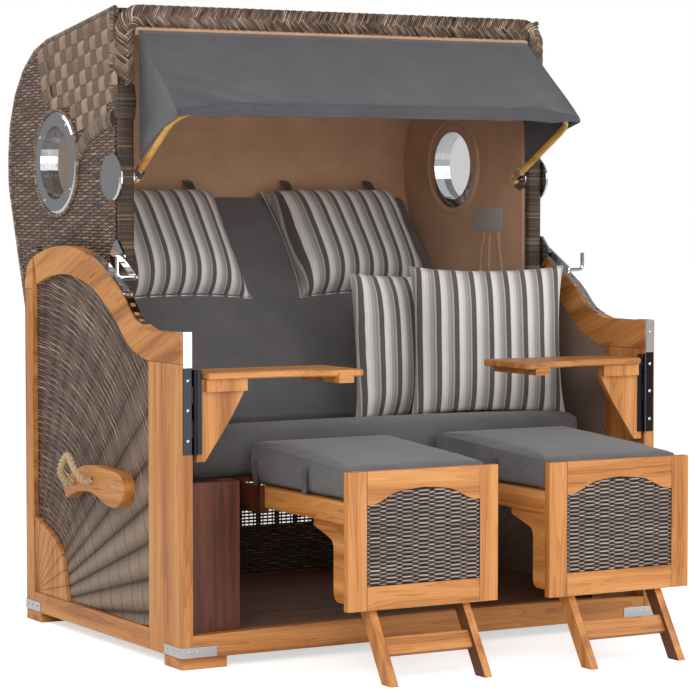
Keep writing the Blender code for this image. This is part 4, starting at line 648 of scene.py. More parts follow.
@dataclass(frozen=True)
class Cloth(Finish):
    """Outdoor acrylic cloth in plain weave: matt, with a fine thread relief and soft sheen."""

    colour: str
    shade: str
    thread_mm: float = 0.9
    roughness: float = 0.85
    fold: float = 0.0

    def draw(self, tree: Tree) -> None:
        """Draw the cloth's tone, then its threads and soft folds.

        Args:
            tree: The material's node tree.
        """
        spot = node(tree, "TexCoord", out="Object")
        colour = self.colours(tree, spot)
        turn = 2000.0 * math.pi / self.thread_mm
        threads = node(tree, "VectorMath MULTIPLY", spot, (turn, turn, turn))
        x = node(tree, "SeparateXYZ", node(tree, "VectorMath SINE", threads))
        over = node(tree, "Math MULTIPLY", x, x.node.outputs["Y"])
        over = node(tree, "Math ADD", over, x.node.outputs["Z"])
        bump = node(tree, "Bump", named=dict(zip(RELIEF, (0.35, 0.0003, over))))
        if self.fold > 0.0:
            soft = node(tree, "TexNoise", spot,
                        named={"Scale": 7.0, "Detail": 2.0, "Distortion": 0.6})
            bump = node(tree, "Bump",
                        named={**dict(zip(RELIEF, (0.6, self.fold, soft))), "Normal": bump})
        close_material(tree, colour, self.roughness, None,
                       {"Normal": bump, "Sheen Weight": 0.25, "Sheen Roughness": 0.5})

    def colours(self, tree: Tree, spot: Socket) -> Socket:
        """Return the cloth's uneven tone."""
        cloud = node(tree, "TexNoise", spot, named={"Scale": 9.0, "Detail": 4.0, "Roughness": 0.6})
        return ramp(tree, cloud, ((0.35, self.shade), (0.65, self.colour)))


@dataclass(frozen=True)
class StripedCloth(Cloth):
    """The pillows' cloth: off-white, two greys and a dark stripe, woven along its own map."""

    period_mm: float = 46.0
    stripes: Stops = ((0.0, "#e6e2dd"), (0.22, "#d3cec9"), (0.36, "#aba6a3"), (0.52, "#98938f"),
                      (0.66, "#bdb8b3"), (0.72, "#5b5654"), (0.99, "#8c8784"))

    def colours(self, tree: Tree, spot: Socket) -> Socket:
        """Lay the stripes across the map's first axis.

        Args:
            tree: The material's node tree.
            spot: The coordinates.

        Returns:
            The colour.
        """
        turns = node(tree, "Math MULTIPLY_ADD", axes(tree, "UV")[0], 1000.0 / self.period_mm, 0.0)
        colour = ramp(tree, node(tree, "Math FRACT", turns), self.stripes)
        colour.node.color_ramp.interpolation = "CONSTANT"
        cloud = node(tree, "TexNoise", spot, named={"Scale": 14.0, "Detail": 3.0})
        tone = node(tree, "MapRange", cloud, 0.3, 0.7, 0.93, 1.0)
        return node(tree, "Mix", 1.0, named={"A": colour, "B": tone}, blend_type="MULTIPLY",
                    **IN_COLOUR)


@dataclass(frozen=True)
class Metal(Finish):
    """Plated or plain metal, with faint polishing marks."""

    colour: str
    roughness: float

    def draw(self, tree: Tree) -> None:
        """Draw the metal and its polishing marks.

        Args:
            tree: The material's node tree.
        """
        marks = self.marks(tree)
        rough = node(tree, "Math MULTIPLY_ADD", marks, 0.10, self.roughness - 0.03)
        close_material(tree, linear(self.colour), rough, (0.06, 0.0002, marks), {"Metallic": 1.0})

    def marks(self, tree: Tree) -> Socket:
        """Return the polishing marks."""
        spot = node(tree, "TexCoord", out="Object")
        return node(tree, "TexNoise", spot, named={"Scale": 220.0, "Detail": 2.0})


@dataclass(frozen=True)
class HingeMetal(Metal):
    """The post's strip: polished plate at the top, blackened nickel on the hinge below."""

    dark: str = "#33343a"
    split: float = 0.712

    def draw(self, tree: Tree) -> None:
        """Draw the plate's colour over the hinge's.

        Args:
            tree: The material's node tree.
        """
        high = node(tree, "Math GREATER_THAN", axes(tree)[2], self.split)
        colour = node(tree, "Mix", high, **IN_COLOUR,
                      named={"A": linear(self.dark), "B": linear(self.colour)})
        rough = node(tree, "Math MULTIPLY_ADD", self.marks(tree), 0.10, self.roughness)
        close_material(tree, colour, rough, None, {"Metallic": 1.0})


@dataclass(frozen=True)
class ClearGlass(Finish):
    """Clear float glass of the portholes."""

    def draw(self, tree: Tree) -> None:
        """Draw clear, smooth glass."""
        close_material(tree, linear("#fbfdfd"), 0.02, None,
                       {"Transmission Weight": 1.0, "IOR": 1.45})


@dataclass(frozen=True)
class LaidRope(Finish):
    """Natural laid rope: pale straw strands with painted shade in the lines between them."""

    lay: float = 0.014

    def draw(self, tree: Tree) -> None:
        """Draw yarns that wind round each strand.

        Args:
            tree: The material's node tree.
        """
        x, y, _ = axes(tree, "UV")
        yarn = node(tree, "Math MULTIPLY", y, 9.0)
        lobe = ribs(tree, node(tree, "Math MULTIPLY_ADD", x, 1.0 / self.lay, yarn), math.pi)
        # Painted shade: the colour darkens in the valleys between the yarns.
        colour = ramp(tree, lobe, ((0.0, "#7d6546"), (0.35, "#b49a72"), (1.0, "#dcc7a0")))
        close_material(tree, colour, 0.9, (0.7, 0.0012, lobe))


@dataclass(frozen=True)
class BraidStrand(Finish):
    """Bundles of flat resin strands side by side: fine ridges along each bundle."""

    strands: float = 4.0

    def draw(self, tree: Tree) -> None:
        """Draw the strands' tones, with painted shade between them and at the bundle's sides.

        Args:
            tree: The material's node tree.
        """
        x, y, _ = axes(tree, "UV")
        lines = node(tree, "Math MULTIPLY", x, self.strands)
        ridge = strand_ridge(tree, lines)
        strand = node(tree, "Math FLOOR", lines)
        place = node(tree, "CombineXYZ", node(tree, "Math MULTIPLY", strand, 1.37),
                     node(tree, "Math MULTIPLY", y, 1.3), 0.0)
        tone = node(tree, "TexNoise", place, named={"Scale": 1.0, "Detail": 2.0, "Roughness": 0.7})
        base = ramp(tree, tone, ((0.32, "#3a2a20"), (0.5, "#7d6453"), (0.68, "#c8af97")))
        # Painted shade: near-black between the strands and towards each bundle's sides.
        shade = node(tree, "MapRange", ridge, 0.10, 0.70, 0.0, 1.0)
        side = node(tree, "MapRange", strand_ridge(tree, x), 0.0, 0.45, 0.15, 1.0)
        shade = node(tree, "Math MULTIPLY", shade, side)
        colour = node(tree, "Mix", shade, named={"A": linear("#0d0805"), "B": base}, **IN_COLOUR)
        close_material(tree, colour, 0.48, (1.0, 0.0016, ridge))


@dataclass(frozen=True)
class RollWrap(Finish):
    """Flat strands wound closely round a core: fine slanting ridges along the roll."""

    turn_mm: float = 5.0
    tones: Stops = ((0.0, "#5a4638"), (0.5, "#806959"), (1.0, "#ab9682"))
    interpolation: str = "LINEAR"
    # Painted shade: the gap's colour, and in edge how far up the ridge it reaches and how much
    # tone stays.
    gap: str = "#1e1510"
    edge: tuple[float, float] = (0.5, 0.2)
    depth: float = 0.001
    roughness: float = 0.48

    def lines(self, tree: Tree) -> Socket:
        """Count the turns along the roll."""
        x, y, _ = axes(tree, "UV")
        return node(tree, "Math MULTIPLY_ADD", x, 1000.0 / self.turn_mm, y)

    def draw(self, tree: Tree) -> None:
        """Draw one tone on each turn, with painted shade in the gap beside it.

        Args:
            tree: The material's node tree.
        """
        lines = self.lines(tree)
        ridge = strand_ridge(tree, lines)
        strand = node(tree, "CombineXYZ", node(tree, "Math FLOOR", lines), 0.0, 0.0)
        base = ramp(tree, node(tree, "TexWhiteNoise", strand, out="Value"), self.tones)
        base.node.color_ramp.interpolation = self.interpolation
        # Painted shade: each turn fades towards the gap's colour in the ridge's valleys.
        shade = node(tree, "MapRange", ridge, 0.0, *self.edge, 1.0)
        colour = node(tree, "Mix", shade, named={"A": linear(self.gap), "B": base}, **IN_COLOUR)
        close_material(tree, colour, self.roughness, (0.8, self.depth, ridge))


@dataclass(frozen=True)
class WrappedBand(RollWrap):
    """The mouth's side posts, wrapped tightly with flat strands that lie level."""

    turn_mm: float = 4.2
    tones: Stops = ((0.0, "#45362c"), (0.5, "#594739"), (0.9, "#78644f"))
    interpolation: str = "CONSTANT"
    # Painted shade in the thin gaps between the turns.
    gap: str = "#1c1410"
    edge: tuple[float, float] = (0.35, 0.35)
    depth: float = 0.0008
    roughness: float = 0.5

    def lines(self, tree: Tree) -> Socket:
        """Count the turns up the post."""
        return node(tree, "Math MULTIPLY", axes(tree)[2], 1000.0 / self.turn_mm)


@dataclass(frozen=True)
class RattanStrand(Finish):
    """One round strand of the footrests' infill: streaks along it, with painted shade where it
    dips.
    """

    dark: str = "#7b6960"
    light: str = "#b7a599"
    stretch: Point = (6.0, 40.0, 260.0)

    def draw(self, tree: Tree) -> None:
        """Draw the streaks, with painted shade by the depth on the piece's map.

        Args:
            tree: The material's node tree.
        """
        spot = node(tree, "Mapping", node(tree, "TexCoord", out="Object"),
                    named={"Scale": self.stretch})
        streak = node(tree, "TexNoise", named={"Vector": spot, "Scale": 1.0, "Detail": 4.0})
        base = ramp(tree, streak, ((0.35, self.dark), (0.65, self.light)))
        # Painted shade: near-black where the strand lies deeper behind the infill's face.
        near = node(tree, "MapRange", axes(tree, "UV")[0], 0.50, 0.92, 0.0, 1.0)
        base = node(tree, "Mix", near, named={"A": linear("#17100c"), "B": base}, **IN_COLOUR)
        close_material(tree, base, 0.42, (0.3, 0.0004, streak))


# Boards that run across: warm orange-brown rings, end to end.
TEAK_X = OiledTeak("oiled_teak_across", Grain.ACROSS).build()
# Boards that run front to back: the same wood, its rings lengthwise.
TEAK_Y = OiledTeak("oiled_teak_deep", Grain.DEEP).build()
# Upright boards: the same wood, its rings standing.
TEAK_Z = OiledTeak("oiled_teak_upright", Grain.UPRIGHT).build()
# The side frames: each member's own grain, with dark joints between.
TEAK_FRAME = FramedTeak("oiled_teak_frame", Grain.UPRIGHT).build()
# The corner fans: grooves with painted shade that spread like a shell.
TEAK_CARVED = CarvedTeak("carved_teak_fan", Grain.UPRIGHT).build()
# The seat box: red-brown boards darkened with painted shade over a paler floor.
SEAT_BOARDS = FloorTeak("shade_darkened_boards", Grain.UPRIGHT, "#74371c", "#5c2913", "#3d190b").build()
# The awning's bow: pale honey wood under a clear lacquer.
BOW_WOOD = OiledTeak("lacquered_ash", Grain.DEEP, "#eec47a", "#dba758", "#b98537", 0.3).build()
# The cushions: matt mid grey with a fine weave.
GREY_CLOTH = Cloth("grey_acrylic_cloth", "#646163", "#5a585a").build()
# The straps: a darker, coarser grey webbing.
STRAP_CLOTH = Cloth("grey_strap_webbing", "#4c4a4c", "#434143", 1.6).build()
# The awning: dark grey cloth with soft folds.
AWNING_CLOTH = Cloth("grey_awning_cloth", "#525055", "#4a484d", fold=0.002).build()
# The hood's lining: warm tan cloth, slightly rumpled.
LINING_CLOTH = Cloth("tan_lining_cloth", "#cba07e", "#bf9473", 1.2, 0.7, 0.0015).build()
# The bare tag: a small pale patch on the lining.
TAG_CLOTH = Cloth("bare_woven_tag", "#b9b2ab", "#a8a19a", 0.7, 0.7).build()
# The pillows: pale and grey stripes with a thin dark one.
STRIPES = StripedCloth("striped_acrylic_cloth", "#e9e6e1", "#a9a6a3").build()
# Bright mirror-like fittings.
CHROME = Metal("polished_chrome", "#d8dadd", 0.07).build()
# The trays' hinge leaves: near black, with a soft shine.
BLACK_STEEL = Metal("dark_nickel_hinge", "#33343a", 0.22).build()
# The posts' strips: bright above the split, near black below.
HINGE_STRIP = HingeMetal("hinge_strip", "#d8dadd", 0.08).build()
# The portholes: almost invisible, with a few reflections.
GLASS = ClearGlass("clear_glass").build()
# The side loops: pale straw with painted shade in the lines between the yarns.
ROPE = LaidRope("laid_rope").build()
# The side panels: rows in arcs over rays, satin low at the front, painted shade on the ribs and
# between rays.
FAN_WEAVE_LAYOUT = FanWeave("fan_weave", stake_mm=24.0)
FAN_WEAVE = FAN_WEAVE_LAYOUT.build()
# The hood's roof and back: mottled brown rows with painted shade in the gaps.
HOOD_WEAVE = Weave("hood_weave").build()
# The hood's edge rolls: fine slanting turns in three browns, with painted shade between them.
ROLL_WRAP = RollWrap("wrapped_roll").build()
# The hood's upper wall: broad pale strips over darker bundles with painted shade between their
# strands.
BLOCK_WEAVE = BlockWeave("broad_block_weave").build()
# The base's back: a weave dimmed with painted shade, with two bands of painted, glowing daylight.
BACK_WEAVE = PaintedSlotWeave("back_weave", row_mm=8.0).build()
# The mouth's braid: shining strands, with painted shade between them and where bundles cross.
BRAID = BraidStrand("braid_strands").build()
# The mouth's posts: level dark turns with painted shade in thin gaps.
BAND = WrappedBand("wrapped_band").build()
# The footrests' infill: grey-brown strands with painted shade as they dip.
RATTAN = RattanStrand("rattan_strand").build()
# Behind the footrests' infill: nearly black depth.
SHADOW_WEAVE = PlainWeave("shaded_rattan", dark="#17100c", middle="#2a1f19",
                          light="#3f3129").build()


def at(x: float, depth: float, rise: float) -> Vector:
    """Return a point given from the base's front face and the floor.

    Args:
        x: Distance to the right of the middle.
        depth: Distance behind the base's front face.
        rise: Height over the floor.

    Returns:
        The point in the row's frame.
    """
    return Vector((x, FRONT + depth, rise))


def add(name: str, data: bpy.types.ID) -> Piece:
    """Put new data into the scene as an object."""
    item = bpy.data.objects.new(name, data)
    bpy.context.scene.collection.objects.link(item)
    return item


def aim(item: Piece, way: Vector) -> None:
    """Turn a camera or a lamp so that it looks one way."""
    item.rotation_mode = "QUATERNION"
    item.rotation_quaternion = way.to_track_quat("-Z", "Y")


def place_mesh(name: str, bm: Shape, look: Look, body: str | None,
               smooth: bool = False) -> Piece:
    """Make a finished bmesh an object that rides on a body.

    Args:
        name: The piece's name.
        bm: The shape, which is freed.
        look: The material.
        body: The body that it moves with, or None to attach it to none here.
        smooth: Whether its faces are shaded smooth.

    Returns:
        The object.
    """
    bmesh.ops.recalc_face_normals(bm, faces=bm.faces)
    mesh = bpy.data.meshes.new(name)
    bm.to_mesh(mesh)
    bm.free()
    mesh.materials.append(look)
    if smooth:
        mesh.shade_smooth()
        mesh.set_sharp_from_angle(angle=math.radians(40.0))
    item = add(name, mesh)
    if body:
        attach(item, body)
    return item


def dress(nodes: Iterable[str], look: Look) -> None:
    """Give CAD nodes a finish.

    Args:
        nodes: The nodes' names.
        look: The material.
    """
    for name in nodes:
        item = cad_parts[name]
        item.data.materials.clear()
        item.data.materials.append(look)


def both(stem: str) -> list[str]:
    """Return the two sides' node names of one stem."""
    return [stem + "_left", stem + "_right"]


def curve(keys: Sequence[Sequence[float]], steps: int = 6) -> list[Vector]:
    """Run a smooth curve through points in space.

    Args:
        keys: The points.
        steps: Steps between two points.

    Returns:
        The curve's points.
    """
    points = [Vector(k) for k in keys]
    points = [points[0] * 2.0 - points[1]] + points + [points[-1] * 2.0 - points[-2]]
    made = []
    for index in range(1, len(points) - 2):
        a, b, c, d = points[index - 1:index + 3]
        for step in range(steps):
            t = step / steps
            made.append((b * 2.0 + (c - a) * t + (a * 2.0 - b * 5.0 + c * 4.0 - d) * t ** 2
                         + (b * 3.0 - a - c * 3.0 + d) * t ** 3) * 0.5)
    made.append(points[-2])
    return made


def sections(path: Sequence[Vector], closed: bool = False) -> list[tuple[Vector, Vector, float]]:
    """Carry a cross-section's two directions along a path without twisting it.

    Args:
        path: The path's points.
        closed: Whether the path joins up.

    Returns:
        The first direction, the second direction and the distance so far at each point.
    """
    made = []
    side = UPWARD
    count = len(path)
    run = 0.0
    for index, point in enumerate(path):
        before = path[index - 1] if closed or index else point
        after = path[(index + 1) % count] if closed or index < count - 1 else point
        direction = (after - before).normalized()
        if abs(direction.dot(side)) > 0.95:
            side = REARWARD if abs(direction.y) < 0.9 else RIGHTWARD
        side = (side - direction * side.dot(direction)).normalized()
        if index:
            run += (point - path[index - 1]).length
        made.append((side.copy(), direction.cross(side), run))
    return made


def join_rows(bm: Shape, rows: Sequence[Sequence[Corner]], ring: bool = False,
              capped: bool = False, layer: object = None,
              place: Callable[[int, int], tuple[float, float]] | None = None) -> None:
    """Join neighbouring rows of points with faces.

    Args:
        bm: The mesh to add to.
        rows: The rows, all of one length.
        ring: Whether each row closes on itself.
        capped: Whether the first and the last row are filled in.
        layer: The map to fill.
        place: Gives a point's place on the map from its row and column.
    """
    for row, (a, b) in enumerate(zip(rows, rows[1:])):
        for step in range(len(a) if ring else len(a) - 1):
            after = (step + 1) % len(a)
            face = bm.faces.new((a[step], a[after], b[after], b[step]))
            if place:
                corners = ((row, step), (row, step + 1), (row + 1, step + 1), (row + 1, step))
                for loop, corner in zip(face.loops, corners):
                    loop[layer].uv = place(*corner)
    if capped:
        bm.faces.new(rows[0])
        bm.faces.new(rows[-1])


def distances(line: Sequence[Vector]) -> list[float]:
    """Return how far along a line each of its points lies."""
    return list(accumulate(((b - a).length for a, b in zip(line, line[1:])), initial=0.0))


def spokes(count: int) -> list[tuple[float, float]]:
    """Return the cosine and sine of each of a circle's even steps."""
    angles = [2.0 * math.pi * step / count for step in range(count)]
    return [(math.cos(angle), math.sin(angle)) for angle in angles]


def tube(bm: Shape, path: Sequence[Vector], wide: float, flat: float = 0.0,
         sides: int = 8, closed: bool = False) -> None:
    """Sweep an oval along a path, with a map of metres along it and turns round it.

    Args:
        bm: The mesh to add to.
        path: The path's points.
        wide: Half the section's width.
        flat: Half the section's thickness, or zero for a round section.
        sides: The section's sides.
        closed: Whether the path joins up.
    """
    layer = bm.loops.layers.uv.verify()
    marks = sections(path, closed)
    runs = [run for _, _, run in marks]
    rings = [[bm.verts.new(point + side * c * wide + other * s * (flat or wide))
              for c, s in spokes(sides)] for point, (side, other, _) in zip(path, marks)]
    if closed:
        rings.append(rings[0])
        runs.append(runs[-1] + (path[0] - path[-1]).length)
    join_rows(bm, rings, True, not closed, layer, lambda row, step: (runs[row], step / sides))


def ribbon(bm: Shape, path: Sequence[Vector], across: Vector, width: float,
           thick: float) -> None:
    """Sweep a flat strap along a path.

    Args:
        bm: The mesh to add to.
        path: The path's points.
        across: The direction of the strap's width.
        width: Its width.
        thick: Its thickness.
    """
    rings = []
    for index, point in enumerate(path):
        direction = path[min(index + 1, len(path) - 1)] - path[max(index - 1, 0)]
        normal = direction.cross(across).normalized() * thick * 0.5
        reach = across.normalized() * width * 0.5
        rings.append([bm.verts.new(point + offset) for offset in
                      (reach + normal, -reach + normal, -reach - normal, reach - normal)])
    join_rows(bm, rings, ring=True, capped=True)


def block(bm: Shape, low: Vector, high: Vector, soft: float = 0.0) -> None:
    """Add a box between two corners, with its edges eased.

    Args:
        bm: The mesh to add to.
        low: The lower corner.
        high: The upper corner.
        soft: How far the edges are cut back.
    """
    verts = bmesh.ops.create_cube(bm, size=1.0)["verts"]
    size = [abs(b - a) for a, b in zip(low, high)]
    bmesh.ops.scale(bm, vec=size, verts=verts)
    bmesh.ops.translate(bm, vec=(Vector(low) + Vector(high)) * 0.5, verts=verts)
    if soft > 0.0:
        edges = list({edge for vert in verts for edge in vert.link_edges})
        bmesh.ops.bevel(bm, geom=edges, offset=soft, segments=2, profile=0.5, affect="EDGES")


def lathe(bm: Shape, centre: Vector, axis: Vector, profile: Sequence[tuple[float, float]],
          steps: int = 40) -> None:
    """Spin a profile round an axis; it closes on itself where its first point comes last.

    Args:
        bm: The mesh to add to.
        centre: A point on the axis.
        axis: The axis' direction.
        profile: Points as radius and distance along the axis.
        steps: Steps round the axis.
    """
    axis = axis.normalized()
    side = axis.orthogonal().normalized()
    other = axis.cross(side)
    loop_back = profile[0] == profile[-1]
    points = profile[:-1] if loop_back else profile
    rings = [[bm.verts.new(centre + axis * along + (side * c + other * s) * radius)
              for c, s in spokes(steps)] for radius, along in points]
    join_rows(bm, rings + rings[:1] if loop_back else rings, ring=True, capped=not loop_back)


def screw(bm: Shape, centre: Vector, axis: Vector, radius: float) -> None:
    """Add a low domed screw head.

    Args:
        bm: The mesh to add to.
        centre: Where it sits.
        axis: The way that it faces.
        radius: Its radius.
    """
    rise = radius * 0.4
    lathe(bm, centre, axis, ((radius, 0.0), (radius * 0.9, rise * 0.6), (radius * 0.4, rise),
                             (radius * 0.3, rise * 0.5)), 12)


def merge(item: Piece, bm: Shape) -> None:
    """Add a bmesh to an object's mesh and free it.

    Args:
        item: The object.
        bm: The shape to add.
    """
    bmesh.ops.recalc_face_normals(bm, faces=bm.faces)
    for face in bm.faces:
        face.smooth = True
    whole = bmesh.new()
    whole.from_mesh(item.data)
    extra = bpy.data.meshes.new("extra")
    bm.to_mesh(extra)
    bm.free()
    whole.from_mesh(extra)
    whole.to_mesh(item.data)
    whole.free()
    bpy.data.meshes.remove(extra)


def face_outline(name: str, axis: int, level: float, middle: Vector) -> list[Vector]:
    """Return the outline of a CAD node's flat face, in order round a middle point.

    Args:
        name: The node.
        axis: The axis that the face looks along.
        level: The face's distance from zero on that axis, on either side.
        middle: A point from which the whole outline is in view.

    Returns:
        The outline's corners in the other two axes.
    """
    a, b = [index for index in range(3) if index != axis]
    spots = {(round(v.co[a], 5), round(v.co[b], 5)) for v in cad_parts[name].data.vertices
             if abs(abs(v.co[axis]) - abs(level)) < 0.0002}
    ordered = sorted(spots, key=lambda p: math.atan2(p[1] - middle.y, p[0] - middle.x))
    return [Vector(p) for p in ordered]


def crossings(centre: Vector, away: Vector, outline: list[Vector]) -> list[float]:
    """Return how far along a ray it crosses an outline.

    Args:
        centre: Where the ray starts.
        away: Its direction.
        outline: The outline's corners.

    Returns:
        The distances.
    """
    found = []
    for a, b in zip(outline, outline[1:] + outline[:1]):
        run = b - a
        bend = away.x * run.y - away.y * run.x
        if abs(bend) < 1e-9:
            continue
        gap = a - centre
        reach = (gap.x * run.y - gap.y * run.x) / bend
        share = (gap.x * away.y - gap.y * away.x) / bend
        if 0.0 <= share < 1.0 and reach > 0.0:
            found.append(reach)
    return found


@dataclass
class Base:
    """The wooden base: side frames, feet, rail, seat box and fittings."""

    half: float = 0.680
    depth: float = 0.925
    bracket_reach: float = 0.092
    bracket_height: float = 0.025
    bracket_rise: float = 0.0405
    plate: float = 0.0015
    gap: float = 0.0003
    screw: float = 0.0035
    leaf_middle: float = 0.6635
    fan_corner: tuple[float, float] = (0.915, 0.030)
    fan_degrees: tuple[float, float] = (3.0, 100.0)
    pleat: float = 0.0058
    pleat_loss: float = 0.0046
    flat_angle: float = 0.42

    def build(self) -> None:
        """Dress the base's nodes and add its small fittings."""
        dress(both("side_frame"), TEAK_FRAME)
        dress(both("side_panel"), FAN_WEAVE)
        dress(both("spandrel"), TEAK_CARVED)
        dress(both("foot_front") + both("foot_rear") + ["front_rail"], TEAK_X)
        dress(["seat_box"], SEAT_BOARDS)
        dress(["back_panel"], BACK_WEAVE)
        dress(both("handle_block"), TEAK_Y)
        dress(both("post_leaf"), HINGE_STRIP)
        dress(both("notch_strip"), CHROME)
        for side in Side:
            self.corner_brackets(side)
            self.screws(side)
            self.pleats(side)
        LOG.info("base dressed")

    def corner_brackets(self, side: Side) -> None:
        """Add the chrome angle over each foot, with its screws.

        Args:
            side: The side.
        """
        for place, depth, toward in (("front", 0.0, 1.0), ("rear", self.depth, -1.0)):
            bm = bmesh.new()
            low = self.bracket_rise - self.bracket_height * 0.5
            high = self.bracket_rise + self.bracket_height * 0.5
            edge, out, soft = self.half, self.plate + self.gap, self.plate * 0.3
            block(bm, Vector((edge - self.bracket_reach, -out, low)),
                  Vector((edge + out, -self.gap, high)), soft)
            block(bm, Vector((edge + self.gap, -self.plate, low)),
                  Vector((edge + out, self.bracket_reach, high)), soft)
            for share in (0.2, 0.45, 0.8):
                reach = self.bracket_reach * share
                screw(bm, Vector((edge - reach, -out, self.bracket_rise)), -REARWARD, self.screw)
                screw(bm, Vector((edge + out, reach, self.bracket_rise)), RIGHTWARD, self.screw)
            bmesh.ops.scale(bm, vec=(side.value, toward, 1.0), verts=bm.verts)
            bmesh.ops.translate(bm, vec=(0.0, FRONT + depth, 0.0), verts=bm.verts)
            piece = place_mesh(f"corner_bracket_{place}_{side.tag}", bm, CHROME, "base")

    def screws(self, side: Side) -> None:
        """Add the bright screws of the post's hinge leaf and of the handle block.

        Args:
            side: The side.
        """
        bm = bmesh.new()
        sign = side.value
        for rise in (0.682, 0.612, 0.540):
            screw(bm, at(sign * self.leaf_middle, -0.003, rise), -REARWARD, 0.0042)
        screw(bm, at(sign * self.leaf_middle, -0.003, 0.765), -REARWARD, 0.003)
        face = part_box(f"handle_block_{side.tag}")
        outer = max(abs(face[0].x), abs(face[1].x))
        for depth, rise in ((0.330, 0.405), (0.600, 0.412)):
            screw(bm, at(sign * outer, depth, rise), RIGHTWARD * sign, self.screw)
        piece = place_mesh(f"post_screws_{side.tag}", bm, CHROME, "base", smooth=True)

    def pleats(self, side: Side) -> None:
        """Raise the fan's pleats over the side panel, deepest low at the front.

        Args:
            side: The side.
        """
        low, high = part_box(f"side_panel_{side.tag}")
        outer = max(abs(low.x), abs(high.x))
        outline = face_outline(f"side_panel_{side.tag}", 0, outer, Vector((FRONT + 0.52, 0.42)))
        outline = [spot - Vector((FRONT, 0.0)) for spot in outline]
        centre = Vector(self.fan_corner)
        start, stop = (math.radians(end) for end in self.fan_degrees)
        ray = math.radians(FAN_WEAVE_LAYOUT.ray_degrees)
        columns, rows, border = 190, 46, 3
        bm = bmesh.new()
        grid = []
        for column in range(columns + 1):
            angle = start + (stop - start) * column / columns
            away = Vector((-math.cos(angle), math.sin(angle)))
            hits = sorted(crossings(centre, away, outline))
            if len(hits) < 2:
                grid.append(None)
                continue
            near, far = hits[0] + 0.001, hits[-1] - 0.0006
            rib = abs(math.sin(math.pi * angle / ray))
            loss = max(0.0, min((angle - self.flat_angle) / 0.45, 1.0))
            depth = self.pleat - self.pleat_loss * loss
            line = []
            for row in range(rows + 1):
                radius = near + (far - near) * row / rows
                edge = min(row, rows - row, border) / border
                lift = 0.0004 + depth * edge * min(radius / 0.55, 1.0) * rib ** 0.8
                spot = centre + away * radius
                line.append(bm.verts.new((side.value * (outer + lift), FRONT + spot.x, spot.y)))
            grid.append(line)
        for pair in zip(grid, grid[1:]):
            if all(pair):
                join_rows(bm, pair)
        piece = place_mesh(f"fan_pleats_{side.tag}", bm, FAN_WEAVE, "base", smooth=True)


